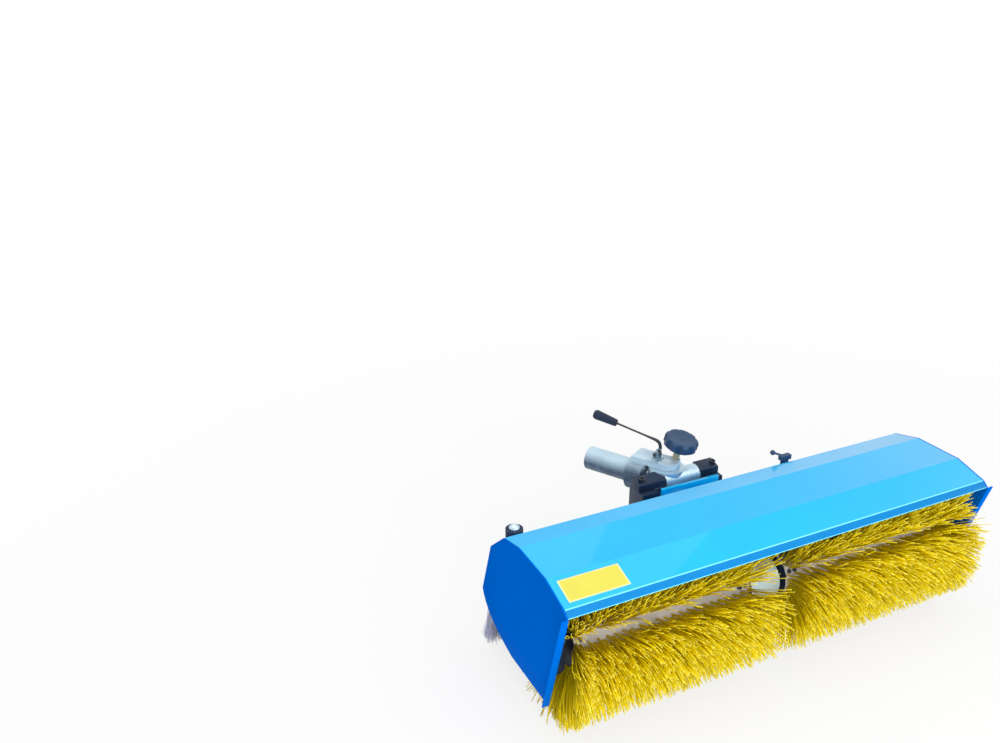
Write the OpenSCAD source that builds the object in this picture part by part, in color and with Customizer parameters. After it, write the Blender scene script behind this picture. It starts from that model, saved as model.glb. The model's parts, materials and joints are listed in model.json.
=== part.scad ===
// Power brush sweeper: a hooded rotary brush that is driven at its middle and
// carried by a swivelling coupling. X runs along the brush, the open front
// faces -Y, Z is up and the ground is Z = 0 below the brush axis.

/* [Hood] */
// Width over the two side plates
hood_w = 1040; // [900:10:1200]
// Thickness of the folded hood sheet
hood_t = 2.5; // [2:0.5:4]
// Thickness of a side plate
plate_t = 3; // [2:0.5:5]
// Angle of each hood fold round the brush axis, from the rear edge to the lip
fold_angles = [-6.1, 26.8, 47.8, 66.1, 100.2, 123.3]; // [-20:0.1:140]
// Gap from the bristle tips to each hood fold
fold_gaps = [89, 65.5, 49, 27, 12, 19]; // [8:0.5:110]
// Length of the folded front lip
lip_len = 17; // [8:1:30]
// Slope of the front lip below the horizontal
lip_slope = 42; // [20:1:80]
// Bottom front corner of a side plate, from the brush axis
plate_foot = [-45, -101]; // [-120:1:0]
// Width of the flange along the front edge of a side plate
flange_w = 12; // [6:1:20]
// Length and width of the bare plate on the front facet
name_plate_size = [127, 50]; // [20:1:160]

/* [Brush] */
// Radius to the bristle tips
tip_r = 165.5; // [150:0.5:190]
// Depth of the flat that the ground presses into the bristles
ground_flat = 0.5; // [0.2:0.1:1]
// Outer radius of the brush core
core_r = 50; // [47:1:54]
// Wall of the brush core
core_wall = 4; // [3:0.5:6]
// Gap from a side plate to the outer end of the core
core_end_gap = 51; // [46:1:70]
// Gap from the drive line to the inner end of a core
core_mid_gap = 48; // [46:1:60]
// Direction of the core seam that faces the front, round the brush axis
seam_angle = 148; // [140:1:156]
// Width of the seam strip
seam_w = 28; // [16:1:30]
// Radius of the cross shaft
cross_r = 12.5; // [10:0.5:15]
// Rows of strands round one half of the core
rows_round = 9; // [7:2:9]
// Rows of strands along one side of the brush
rows_along = 10; // [6:1:10]
// How far the outer and the inner bristle tips lean past their roots
tip_flare = [36, 16]; // [0:1:40]

/* [Rear skirt] */
// Number of strands in the rear skirt
skirt_count = 58; // [30:1:60]
// Backward and forward spread of the skirt tips
skirt_spread = 36; // [10:1:45]

/* [Coupling] */
// Offset of the drive line from the middle of the hood
drive_x = -12; // [-20:1:0]
// Height of the coupling tube above the ground
coupling_z = 236; // [228:1:246]
// Distance of the swivel axis behind the rearmost hood edge
swivel_back = 69; // [65:1:80]
// Swivel angle of the coupling as it stands
swivel_rest = 29; // [10:1:29]
// Outer radius of the coupling tube
tube_r = 29; // [27:0.5:32]
// Wall of the coupling tube
tube_wall = 5; // [4:0.5:6]
// Distance from the swivel axis to the free end of the tube
tube_reach = 208; // [180:1:260]
// Radius of the round part of the swivel head
head_r = 42; // [40:1:46]
// Radius of the pivot drum
drum_r = 42; // [41:1:44]
// Height of the pivot drum
drum_h = 85; // [80:1:90]
// Radius of a kingpin
kingpin_r = 10; // [8:0.5:11]
// Radius of the cross tube on the pivot drum
stub_r = 15; // [12:0.5:16]
// Radius of the cross tube between the clamps
bar_r = 23.5; // [22:0.5:24]
// Distance of the clamp screws from the middle of the hood
screw_x = 99; // [96:0.5:102]
// Radius of a clamp screw
clamp_screw_r = 4; // [3:0.5:5]

/* [Lever and knob] */
// Radius of the hand knob
knob_r = 40; // [30:1:40]
// Height of the hand knob
knob_h = 25; // [16:1:32]
// Forward lean of the knob
knob_tilt = 13.5; // [0:0.5:16]
// Radius of the threaded stud of the knob
stud_r = 6; // [4:0.5:7]
// Radius of the bent lever rod
arm_r = 4; // [3:0.5:4.5]
// Length of the lever arm from its bend to the end of the grip
lever_len = 183; // [120:1:220]
// Slope of the lever arm
lever_slope = 8; // [4:1:16]
// Length of the lever grip
grip_len = 62; // [40:1:80]
// Radius of the lever grip at its thick end
grip_r = 12; // [9:0.5:14]
// Radius of the brake pin
brake_pin_r = 4; // [3:0.5:4.5]
// Radius of the bolt that holds the lever bracket
bracket_bolt_r = 4; // [3:0.5:4]

/* [Drive] */
// Teeth of the pinion
pinion_teeth = 12; // [10:1:14]
// Teeth of the crown gear
crown_teeth = 24; // [22:1:26]
// Pitch radius of the pinion
pinion_r = 17; // [16:0.5:18]
// Radius of the drive shaft
shaft_r = 9; // [8:0.5:10]
// Outer radius of the torque tube
torque_r = 22; // [20:0.5:22]
// Wall of the torque tube
torque_wall = 4; // [3:0.5:5]
// Radius of the input shaft
input_r = 12.5; // [10:0.5:14]
// Radius of the ball of the drive joint
ball_r = 13; // [12:0.5:14]
// Radius of the trunnion pin through the ball
trunnion_r = 3; // [2.5:0.5:3.5]
// Outer radius of the gearbox
gearbox_r = 46; // [44:0.5:47]
// Radius of a gearbox screw
box_screw_r = 2.5; // [2:0.5:3]
// Radius of a hub screw
hub_screw_r = 3; // [2:0.5:4]

/* [Clearances] */
// Radial clearance of a turning shaft
run_gap = 0.05; // [0.02:0.01:0.1]
// Gap between parts that move past each other
free_gap = 0.5; // [0.4:0.1:1]
// Radial clearance of a piece that is fixed in its seat
seat_gap = 0.1; // [0.05:0.05:0.2]

/* [Hidden] */
$fn = 64;

blue = [0.05, 0.45, 0.85];
black = [0.08, 0.09, 0.11];
steel = [0.72, 0.73, 0.75];
cast = [0.66, 0.68, 0.72];
core_grey = [0.68, 0.66, 0.70];
straw = [0.85, 0.72, 0.10];
skirt_grey = [0.72, 0.73, 0.84];

axis_z = tip_r - ground_flat;
inner_x = hood_w / 2 - plate_t;

// Hood folds, from the rear edge over the top to the front lip
function round_axis(a, r) = [r * cos(a), axis_z + r * sin(a)];
folds = [for (i = [0:len(fold_angles) - 1]) round_axis(fold_angles[i], tip_r + fold_gaps[i])];
last_fold = len(folds) - 1;
lip_edge = folds[last_fold] - lip_len * [cos(lip_slope), sin(lip_slope)];
hood_line = concat(folds, [lip_edge]);
rear_edge = folds[0];
rear_panel = folds[1] - rear_edge;
foot = [plate_foot[0], axis_z + plate_foot[1]];

function unit(v) = v / norm(v);
function inward(a, b) = let (d = unit(b - a)) [-d[1], d[0]];

// Outer face of the rear panel at height z
function panel_y(z) = rear_edge[0] + rear_panel[0] * (z - rear_edge[1]) / rear_panel[1];

// Point at distance s along the facet from a to b, h out from its outer face
function on_facet(a, b, s, h) = a + s * unit(b - a) - h * inward(a, b);

// Inner line of a folded sheet, with mitred folds
function inset(line, t) = [
  for (i = [0:len(line) - 1])
    let (
      before = i == 0 ? inward(line[0], line[1]) : inward(line[i - 1], line[i]),
      after = i == len(line) - 1 ? before : inward(line[i], line[i + 1]),
      mid = unit(before + after)
    )
    line[i] + mid * t / (mid * after)
];

// Curved rear lower edge of a side plate
bend_point = rear_edge + [-15, -56];
bend_end = [110, foot[1] - 4];
function bend(t) = (1 - t) * (1 - t) * rear_edge + 2 * t * (1 - t) * bend_point + t * t * bend_end;
plate_line = concat(hood_line, [foot], [for (i = [8:-1:1]) bend(i / 8)]);
edge_run = unit(foot - lip_edge);
edge_out = [edge_run[1], -edge_run[0]];

// Coupling
swivel_y = rear_edge[0] + swivel_back;
drum_top = coupling_z + drum_h / 2 - 3;
drum_low = drum_top - drum_h;
drum_wall = 8;
drum_cover = 9.5;
ear_t = 14;
ear_w = 52;
ear_r = 27;
ear_top = drum_top + free_gap + ear_t;
ear_low = drum_low - free_gap - ear_t;
web_start = drum_r + 4;
head_start = drum_r + 8;
tube_start = head_start + 22;
head_end = tube_start + 18;
head_bore = tube_r - tube_wall;
tube_seat_r = tube_r - 1;
shoulder_gap = 0.3;
stub_y = swivel_y - 22;
stub_z = drum_top - 24;
stub_reach = 110;
clamp_back = stub_y + 18;
cap_y = [stub_y - 20.5, stub_y + 11];
cap_tilt = 15;
cap_rise = 20.8;
left_clamp_x = [-115, -40];
right_clamp_x = [55, 107];
left_base_x = [-115, -70];
right_base_x = [71, 107];
mount_y = rear_edge[0] + 1;
mount_t = 8;
mount_low = rear_edge[1] + 14;
mount_mid = stub_z - 26;

// Drive line from the middle of the gearbox up to the swivel centre
drive_slope = atan((coupling_z - axis_z) / swivel_y);
drive_len = norm([swivel_y, coupling_z - axis_z]);
joint_tilt = acos(cos(swivel_rest) * cos(drive_slope));
neck_r = 5.5;
cup_bore = ball_r + 0.8;
cup_r = cup_bore + 5.2;
cup_floor = ball_r + 1.6;
cup_end = cup_floor + 5.4;
cup_rim = (cup_bore - neck_r / cos(joint_tilt)) / tan(joint_tilt) - 0.8;
trunnion_half = cup_r - 1;
slot_w = 2 * (trunnion_r + trunnion_half * sin(9)) + 1;
slot_end = trunnion_half * sin(joint_tilt) + trunnion_r + 0.7;
torque_bore = torque_r - torque_wall;
torque_low = 62;
torque_top = drive_len - cup_end - 3.5;
gear_half = 36;
gear_wall = 10;
crown_r = pinion_r * crown_teeth / pinion_teeth;
face_scale = 0.7;
pinion_low = crown_r * face_scale;
pitch_angle = atan(pinion_teeth / crown_teeth);
tooth_add = 2;
tooth_ded = 2.7;

// Brush
core_outer_x = inner_x - core_end_gap;
left_core_x = [-core_outer_x, drive_x - core_mid_gap];
right_core_x = [drive_x + core_mid_gap, core_outer_x];
backing_t = 2.9;
strip_t = 3.2;
hub_r = 58;
hub_t = 27;
boss_r = 36;
boss_t = 39;
bearing_r = 26;
bearing_w = 14;
box_bearing_r = 21;

// Lever and knob, placed across and along the tube from the swivel axis
journal_v = 25;
journal_h = 14;
lever_u = 14;
bend_h = 22;
cam_r = arm_r + 3;
cam_throw = 3.5;
cam_gap = 0.4;
brake_at = [-1, journal_v - cam_throw];
brake_gap = 1.6;
bracket_t = 3;
bolt_at = [-20, 24];
knob_at = [19.5, -12.5];
knob_lift = 36.2;
knob_grip = 14;
boss_lift = 2.6;

// Pieces on the back facet of the hood
buffer_x = -inner_x + 33;
buffer_r = 18;
buffer_h = 20;
buffer_at = on_facet(folds[1], folds[2], 50, 0);
handle_x = 205;
handle_h = 14;
handle_pin_r = 4;
handle_arm_r = 2.5;
handle_turn = 140;
handle_at = on_facet(folds[1], folds[2], 48, 0);

// Strip that holds the rear skirt, against the inside of the rear panel
skirt_z = rear_edge[1] - 6;
skirt_h = 26;
skirt_w = 12;
function skirt_y(z) = panel_y(z) - (hood_t + seat_gap) * norm(rear_panel) / rear_panel[1];

module across(x0, x1) {
  translate([x0, 0, 0])
    rotate([90, 0, 90])
      linear_extrude(x1 - x0)
        children();
}

// Cylinder along X, centred on the brush axis
module along_axis(x0, x1, r) {
  translate([x0, 0, axis_z])
    rotate([0, 90, 0])
      cylinder(r = r, h = x1 - x0);
}

// Local frame with Z along the drive line, from the gearbox to the swivel
module on_drive(s = 0) {
  translate([drive_x, 0, axis_z])
    rotate([drive_slope - 90, 0, 0])
      translate([0, 0, s])
        children();
}

// Local frame at the swivel centre, with Y along the coupling tube
module at_head() {
  translate([drive_x, swivel_y, coupling_z])
    rotate([0, 0, swivel_rest])
      children();
}

// Local frame on top of the upper ear of the head
module on_ear() {
  at_head()
    translate([0, 0, ear_top - coupling_z])
      children();
}

// Cylinder along the coupling tube from s0 to s1
module on_tube(s0, s1, r) {
  translate([0, s0, 0])
    rotate([-90, 0, 0])
      cylinder(r = r, h = s1 - s0);
}

module ring(r_out, r_in, h) {
  difference() {
    cylinder(r = r_out, h = h);
    translate([0, 0, -1])
      cylinder(r = r_in, h = h + 2);
  }
}

// Socket screw with its head up, standing on the origin
module screw(r, length) {
  difference() {
    union() {
      cylinder(r = 1.7 * r, h = 1.8 * r);
      translate([0, 0, -length])
        cylinder(r = r, h = length + 0.1);
    }
    translate([0, 0, 0.8 * r])
      cylinder(r = r, h = 2 * r, $fn = 6);
  }
}

module hood_shell() {
  inside = inset(hood_line, hood_t);
  color(blue)
    difference() {
      across(-inner_x, inner_x)
        polygon(concat(hood_line, [for (i = [len(inside) - 1:-1:0]) inside[i]]));
      on_drive(torque_low)
        cylinder(r = torque_r + 6, h = drive_len);
    }
}

module side_plate() {
  color(blue) {
    across(inner_x, hood_w / 2)
      polygon(plate_line);
    across(inner_x, hood_w / 2 + flange_w)
      polygon([lip_edge, lip_edge + plate_t * edge_out, foot + plate_t * edge_out, foot]);
  }
}

module left_side_plate() {
  mirror([1, 0, 0])
    side_plate();
}

module right_side_plate() {
  side_plate();
}

module name_plate() {
  a = folds[last_fold - 1];
  b = folds[last_fold];
  s0 = (norm(b - a) - name_plate_size[1]) / 2;
  s1 = s0 + name_plate_size[1];
  color([0.98, 0.80, 0.05])
    across(-inner_x + 15, -inner_x + 15 + name_plate_size[0])
      polygon([
        on_facet(a, b, s0, 0), on_facet(a, b, s0, 0.8),
        on_facet(a, b, s1, 0.8), on_facet(a, b, s1, 0)
      ]);
}

// Vertical plate behind the hood, with ribs down to the rear panel
module mount_plate() {
  rib_t = 8;
  x0 = left_base_x[0] - 3;
  x1 = right_clamp_x[1] + 3;
  color(blue)
    difference() {
      union() {
        translate([x0, mount_y, mount_low])
          cube([x1 - x0, mount_t, mount_mid - mount_low]);
        translate([-68, mount_y, mount_low])
          cube([158, mount_t, stub_z + 8 - mount_low]);
        for (x = [x0, -74, 46, x1 - rib_t])
          across(x, x + rib_t)
            polygon([
              [panel_y(mount_low), mount_low], [mount_y + 1, mount_low],
              [mount_y + 1, mount_mid], [panel_y(mount_mid), mount_mid]
            ]);
      }
      on_drive(torque_low)
        cylinder(r = torque_r + 2, h = drive_len);
    }
}

// Cylinder along the cross tube of the drum, past both of its ends
module stub_line(r) {
  translate([-stub_reach - shoulder_gap, stub_y, stub_z])
    rotate([0, 90, 0])
      cylinder(r = r, h = 2 * stub_reach + 40);
}

// Height of the sloping top of a clamp cap at depth y
function cap_top(y) = stub_z + cap_rise / cos(cap_tilt) + (y - stub_y) * tan(cap_tilt);

// Local frames on the sloping tops of the two caps, with Z out along the screws
module on_caps() {
  for (x = [-screw_x, screw_x])
    translate([x, stub_y, stub_z])
      rotate([cap_tilt, 0, 0])
        translate([0, 0, cap_rise])
          children();
}

module clamp_holes(r, h) {
  on_caps()
    translate([0, 0, -h])
      cylinder(r = r, h = h + 1);
}

module clamp_base(x0, x1) {
  z0 = rear_edge[1] + 18;
  color(black)
    difference() {
      translate([x0, mount_y + mount_t, z0])
        cube([x1 - x0, clamp_back - mount_y - mount_t, stub_z - z0 - 0.2]);
      stub_line(stub_r + seat_gap);
      clamp_holes(clamp_screw_r + seat_gap, 62);
    }
}

module clamp_cap(x0, x1) {
  color(black)
    difference() {
      across(x0, x1)
        polygon([
          [cap_y[0], stub_z + 0.2], [cap_y[1], stub_z + 0.2],
          [cap_y[1], cap_top(cap_y[1])], [cap_y[0], cap_top(cap_y[0])]
        ]);
      stub_line(stub_r + seat_gap);
      clamp_holes(clamp_screw_r + seat_gap, 62);
      translate([drive_x, swivel_y, drum_low])
        cylinder(r = drum_r + free_gap, h = drum_h + 1);
    }
}

module left_clamp_base() {
  clamp_base(left_base_x[0], left_base_x[1]);
}

module right_clamp_base() {
  clamp_base(right_base_x[0], right_base_x[1]);
}

module left_clamp_cap() {
  clamp_cap(left_clamp_x[0], left_clamp_x[1]);
}

module right_clamp_cap() {
  clamp_cap(right_clamp_x[0], right_clamp_x[1]);
}

module clamp_screws() {
  color(steel)
    on_caps()
      screw(clamp_screw_r, 60);
}

// Upright hollow drum with a cross tube through its front
module pivot_drum() {
  window_a = 44;
  window_h = 2 * neck_r + 14;
  color(steel)
    difference() {
      union() {
        translate([drive_x, swivel_y, drum_low])
          cylinder(r = drum_r, h = drum_h);
        translate([-stub_reach, stub_y, stub_z])
          rotate([0, 90, 0])
            cylinder(r = stub_r, h = stub_reach + right_clamp_x[1]);
        translate([left_clamp_x[1] + free_gap, stub_y, stub_z])
          rotate([0, 90, 0])
            cylinder(r = bar_r, h = right_clamp_x[0] - left_clamp_x[1] - 2 * free_gap);
      }
      translate([drive_x, swivel_y, drum_low + drum_cover])
        cylinder(r = drum_r - drum_wall, h = drum_h - 2 * drum_cover);
      translate([drive_x, swivel_y, drum_low - 1])
        cylinder(r = kingpin_r, h = drum_h + 2);
      translate([drive_x, swivel_y, coupling_z - window_h / 2])
        linear_extrude(window_h)
          polygon([[0, 0], 90 * [sin(window_a), cos(window_a)], 90 * [-sin(window_a), cos(window_a)]]);
      on_drive(torque_low)
        cylinder(r = torque_r + seat_gap, h = drive_len - torque_low);
      clamp_holes(clamp_screw_r + seat_gap, 62);
    }
}

module torque_tube() {
  color(steel)
    on_drive(torque_low)
      ring(torque_r, torque_bore, torque_top - torque_low);
}

module drive_bearings() {
  color(steel)
    for (s = [torque_low - 14.5, torque_top - 14])
      on_drive(s)
        ring(torque_bore - seat_gap, shaft_r + run_gap, 12);
}

module gearbox_body() {
  color(cast)
    difference() {
      union() {
        along_axis(drive_x - gear_half + gear_wall, drive_x + gear_half, gearbox_r);
        on_drive(30)
          cylinder(r = torque_r + 3, h = 50);
      }
      along_axis(drive_x - gear_half, drive_x + gear_half - gear_wall, gearbox_r - 5);
      along_axis(drive_x, drive_x + gear_half + 1, box_bearing_r);
      on_drive(0)
        cylinder(r = torque_bore, h = torque_low);
      on_drive(torque_low)
        cylinder(r = torque_r + seat_gap, h = 60);
    }
}

// Places its children round the cover, on its outer face and pointing inwards
module cover_bolts() {
  for (a = [0:60:300])
    translate([drive_x - gear_half, 0, axis_z])
      rotate([a, 0, 0])
        translate([0, 0, (gearbox_r + box_bearing_r) / 2])
          rotate([0, 90, 0])
            children();
}

module gearbox_cover() {
  color(cast)
    difference() {
      along_axis(drive_x - gear_half, drive_x - gear_half + gear_wall, gearbox_r);
      along_axis(drive_x - gear_half - 1, drive_x, box_bearing_r);
      cover_bolts()
        translate([0, 0, -1])
          cylinder(r = box_screw_r + seat_gap, h = gear_wall + 2);
    }
}

module gearbox_screws() {
  color(steel)
    cover_bolts()
      rotate([180, 0, 0])
        screw(box_screw_r, gear_wall - 1);
}

module gearbox_bearings() {
  color(steel)
    for (x = [drive_x - gear_half, drive_x + gear_half - gear_wall])
      translate([x, 0, axis_z])
        rotate([0, 90, 0])
          ring(box_bearing_r - seat_gap, cross_r + run_gap, gear_wall);
}

// Places its children on the flange of the right bearing hub, pointing outwards
module hub_bolts() {
  for (a = [45:90:315])
    translate([inner_x - hub_t, 0, axis_z])
      rotate([a, 0, 0])
        translate([0, 0, (hub_r + boss_r) / 2])
          rotate([0, 90, 0])
            children();
}

module bearing_hub() {
  color(black)
    difference() {
      union() {
        along_axis(inner_x - hub_t, inner_x, hub_r);
        along_axis(inner_x - boss_t, inner_x, boss_r);
      }
      along_axis(inner_x - boss_t - 1, inner_x - boss_t + bearing_w, bearing_r);
      along_axis(inner_x - boss_t, inner_x + 1, cross_r + 2);
      hub_bolts()
        translate([0, 0, -1])
          cylinder(r = hub_screw_r + seat_gap, h = 13);
    }
}

module left_bearing_hub() {
  mirror([1, 0, 0])
    bearing_hub();
}

module right_bearing_hub() {
  bearing_hub();
}

module end_bearings() {
  color(steel)
    for (side = [0, 1])
      mirror([side, 0, 0])
        translate([inner_x - boss_t, 0, axis_z])
          rotate([0, 90, 0])
            ring(bearing_r - seat_gap, cross_r + run_gap, bearing_w);
}

module hub_screws() {
  color(steel)
    for (side = [0, 1])
      mirror([side, 0, 0])
        hub_bolts()
          rotate([180, 0, 0])
            screw(hub_screw_r, 10);
}

module skirt_holder() {
  z1 = skirt_z + skirt_h;
  color(steel)
    across(-inner_x + 0.3, inner_x - 0.3)
      polygon([
        [skirt_y(skirt_z), skirt_z], [skirt_y(z1), z1],
        [skirt_y(z1) - skirt_w, z1], [skirt_y(skirt_z) - skirt_w, skirt_z]
      ]);
}

// Grid lines over a span: a flat, a strand, a flat, a strand and so on
function lines(n, start, span, share) = concat(
  [start],
  [for (k = [0:n - 1]) for (side = [-1, 1]) start + span * (k + 0.5 + side * share / 2) / n],
  [start + span]
);

// Faces of a backing slice whose grid has nu by nv lines. Every cell between an
// odd line and the next one, both ways, is drawn out into a strand. The points
// are the outer grid, then two inner rows of nu points, then four for each tip.
function quad(a, b, c, d) = [[a, b, c], [a, c, d]];
function bristle_faces(nu, nv) =
  let (
    grid = nu * nv,
    tips = grid + 2 * nu,
    across_n = nu / 2 - 1,
    outer = function(i, j) i + nu * j,
    inner = function(i, e) grid + i + nu * e,
    tip = function(i, j, c) tips + 4 * ((i - 1) / 2 + across_n * (j - 1) / 2) + c
  )
  concat(
    [for (j = [0:nv - 2]) for (i = [0:nu - 2])
      let (c = [outer(i, j), outer(i, j + 1), outer(i + 1, j + 1), outer(i + 1, j)])
      if (i % 2 == 0 || j % 2 == 0)
        each quad(c[0], c[1], c[2], c[3])],
    [for (j = [1:2:nv - 2]) for (i = [1:2:nu - 2])
      let (
        c = [outer(i, j), outer(i, j + 1), outer(i + 1, j + 1), outer(i + 1, j)],
        t = [for (k = [0:3]) tip(i, j, k)]
      )
      each concat(
        quad(t[0], t[1], t[2], t[3]),
        [for (k = [0:3]) each quad(c[k], c[(k + 1) % 4], t[(k + 1) % 4], t[k])]
      )],
    [for (i = [0:nu - 2]) each concat(
      quad(inner(i, 0), inner(i + 1, 0), inner(i + 1, 1), inner(i, 1)),
      quad(outer(i, 0), outer(i + 1, 0), inner(i + 1, 0), inner(i, 0)),
      quad(outer(i + 1, nv - 1), outer(i, nv - 1), inner(i, 1), inner(i + 1, 1))
    )],
    [for (j = [0:nv - 2]) [outer(0, j + 1), outer(0, j), inner(0, 0)]],
    [[outer(0, nv - 1), inner(0, 0), inner(0, 1)]],
    [for (j = [0:nv - 2]) [outer(nu - 1, j), outer(nu - 1, j + 1), inner(nu - 1, 0)]],
    [[inner(nu - 1, 0), outer(nu - 1, nv - 1), inner(nu - 1, 1)]]
  );

// One half round of bristles on a core from x0 to x1. The tips spread evenly
// from tip_x0 to tip_x1 and are cut flat where they meet the ground.
module bristle_half(x0, x1, tip_x0, tip_x1, seam) {
  bare = 18;
  us = lines(rows_round, seam + bare, 180 - 2 * bare, 0.36);
  vs = lines(rows_along, x0, x1 - x0, 0.14);
  function at(x, a, r) = [x, r * cos(a), max(0, axis_z + r * sin(a))];
  function spread(x) = tip_x0 + (tip_x1 - tip_x0) * (x - x0) / (x1 - x0);
  inner_r = core_r + 0.4;
  root_r = core_r + backing_t;
  tip_x = 2;
  tip_a = 1;
  color(straw)
    polyhedron(
      points = concat(
        [for (v = vs) for (u = us) at(v, u, root_r)],
        [for (x = [x0, x1]) for (u = us) at(x, u, inner_r)],
        [for (j = [1:2:len(vs) - 2]) for (i = [1:2:len(us) - 2])
          let (x = spread((vs[j] + vs[j + 1]) / 2), a = (us[i] + us[i + 1]) / 2)
          each [
            at(x - tip_x, a - tip_a, tip_r), at(x + tip_x, a - tip_a, tip_r),
            at(x + tip_x, a + tip_a, tip_r), at(x - tip_x, a + tip_a, tip_r)
          ]]
      ),
      faces = bristle_faces(len(us), len(vs)),
      convexity = 10
    );
}

module left_bristles() {
  x = left_core_x;
  for (half = [0, 180])
    bristle_half(x[0] + 2, x[1] - 2, x[0] - tip_flare[0], x[1] + tip_flare[1], seam_angle + half);
}

module right_bristles() {
  x = right_core_x;
  for (half = [0, 180])
    bristle_half(x[0] + 2, x[1] - 2, x[0] - tip_flare[1], x[1] + tip_flare[0], seam_angle + half);
}

// Skirt strands hang from a slice under the holder, leaning back and forth in turn
module skirt_bristles() {
  y = skirt_y(skirt_z) - skirt_w / 2;
  us = [y - 5, y - 2, y + 2, y + 5];
  x0 = -inner_x + 8;
  vs = lines(skirt_count, x0, -2 * x0, 0.4);
  lean = [-0.7, 0.3, -0.2, 0.9];
  color(skirt_grey)
    polyhedron(
      points = concat(
        [for (v = vs) for (u = us) [v, u, skirt_z - 3]],
        [for (x = [x0, -x0]) for (u = us) [x, u, skirt_z]],
        [for (j = [1:2:len(vs) - 2])
          let (x = (vs[j] + vs[j + 1]) / 2, t = y + skirt_spread * lean[(j - 1) / 2 % 4])
          each [[x - 1.5, t - 2, 0], [x + 1.5, t - 2, 0], [x + 1.5, t + 2, 0], [x - 1.5, t + 2, 0]]]
      ),
      faces = bristle_faces(len(us), len(vs)),
      convexity = 10
    );
}

// Upright round post on the back facet of the hood, cut to the facet
module on_back_facet(x, at, r, h) {
  along = unit(folds[2] - folds[1]);
  difference() {
    translate([x, at[0], at[1] - 30])
      cylinder(r = r, h = 30 + h);
    across(x - 2 * r, x + 2 * r)
      polygon([folds[1] - 40 * along, folds[2] + 40 * along, [0, axis_z]]);
  }
}

module buffer_body() {
  color(black)
    on_back_facet(buffer_x, buffer_at, buffer_r, buffer_h);
}

module buffer_cap() {
  color(steel)
    translate([buffer_x, buffer_at[0], buffer_at[1] + buffer_h])
      intersection() {
        cylinder(r = 11, h = 12);
        translate([0, 0, -4])
          sphere(r = 13);
      }
}

module handle_post() {
  color(black)
    difference() {
      on_back_facet(handle_x, handle_at, 9, handle_h);
      translate([handle_x, handle_at[0], handle_at[1]])
        cylinder(r = handle_pin_r, h = handle_h + 1);
    }
}

// Local frame on the post of the small turning handle
module at_handle() {
  translate([handle_x, handle_at[0], handle_at[1] + handle_h])
    children();
}

// Local frame with Z along the arm of the small handle
module on_handle_arm() {
  translate([0, 0, 8])
    rotate([0, 0, handle_turn])
      rotate([0, 78, 0])
        children();
}

module handle_bar() {
  color(black)
    at_handle() {
      translate([0, 0, -10])
        cylinder(r = handle_pin_r - run_gap, h = 12);
      translate([-14, -6, free_gap])
        cube([28, 12, 11]);
      on_handle_arm()
        cylinder(r = handle_arm_r, h = 26);
    }
}

module handle_ball() {
  color(black)
    at_handle()
      on_handle_arm()
        difference() {
          translate([0, 0, 28])
            sphere(r = 6);
          cylinder(r = handle_arm_r + seat_gap, h = 26 + seat_gap);
        }
}

// Head with two ears round the drum, a socket for the tube and a lug for the knob
module swivel_head() {
  low = ear_low - coupling_z;
  high = ear_top - coupling_z;
  color(cast)
    at_head()
      difference() {
        union() {
          on_tube(head_start, head_end, head_r);
          translate([-ear_w / 2, web_start, low])
            cube([ear_w, tube_start + 8 - web_start, high - low]);
          translate([0, 0, high - ear_t])
            cylinder(r = ear_r, h = ear_t);
          translate([0, 0, low])
            cylinder(r = ear_w / 2 + 2, h = ear_t);
          for (z = [low, high - ear_t])
            translate([-ear_w / 2, 0, z])
              cube([ear_w, web_start + 1, ear_t]);
          translate([knob_at[0], knob_at[1], high - ear_t])
            cylinder(r = 2 * stud_r, h = ear_t);
        }
        on_tube(0, tube_start, head_bore);
        on_tube(tube_start, head_end + 1, tube_seat_r + seat_gap);
        for (z = [low, high - ear_t])
          translate([0, 0, z - 1])
            cylinder(r = kingpin_r, h = ear_t + 2);
        translate([brake_at[0], brake_at[1], high - ear_t - 1])
          cylinder(r = brake_pin_r, h = ear_t + 2);
        translate([knob_at[0], knob_at[1], high])
          rotate([knob_tilt, 0, 0])
            translate([0, 0, -ear_t - 4])
              cylinder(r = stud_r, h = ear_t + 8);
        translate([bolt_at[0], bolt_at[1], high - 9])
          cylinder(r = bracket_bolt_r + seat_gap, h = 10);
      }
}

module coupling_tube() {
  color(steel)
    at_head()
      difference() {
        union() {
          on_tube(tube_start, head_end + 1, tube_seat_r);
          on_tube(head_end + shoulder_gap, tube_reach, tube_r);
        }
        on_tube(tube_start - 1, tube_reach + 1, head_bore);
      }
}

module kingpins() {
  pin_h = drum_cover + free_gap + ear_t;
  color(steel)
    for (z = [ear_low, ear_top - pin_h])
      translate([drive_x, swivel_y, z])
        cylinder(r = kingpin_r - run_gap, h = pin_h);
}

module input_bearings() {
  color(steel)
    at_head()
      for (s = [head_start + 5, tube_reach - 30])
        translate([0, s, 0])
          rotate([-90, 0, 0])
            ring(head_bore - seat_gap, input_r + run_gap, 12);
}

// Foot plate with two upright lugs that carry the journal of the lever
module lever_bracket() {
  lug_t = 4;
  lug_w = 2 * arm_r + 6;
  color(steel)
    on_ear()
      difference() {
        union() {
          translate([-29, journal_v - 13, 0])
            cube([39, 25, bracket_t]);
          for (x = [-9, 5]) {
            translate([x, journal_v - lug_w / 2, 0])
              cube([lug_t, lug_w, journal_h]);
            translate([x, journal_v, journal_h])
              rotate([0, 90, 0])
                cylinder(r = lug_w / 2, h = lug_t);
          }
        }
        translate([-30, journal_v, journal_h])
          rotate([0, 90, 0])
            cylinder(r = arm_r + run_gap, h = 60);
        translate([brake_at[0], brake_at[1], -1])
          cylinder(r = brake_pin_r + 2, h = bracket_t + 2);
        translate([bolt_at[0], bolt_at[1], -1])
          cylinder(r = bracket_bolt_r + seat_gap, h = bracket_t + 2);
      }
}

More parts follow.
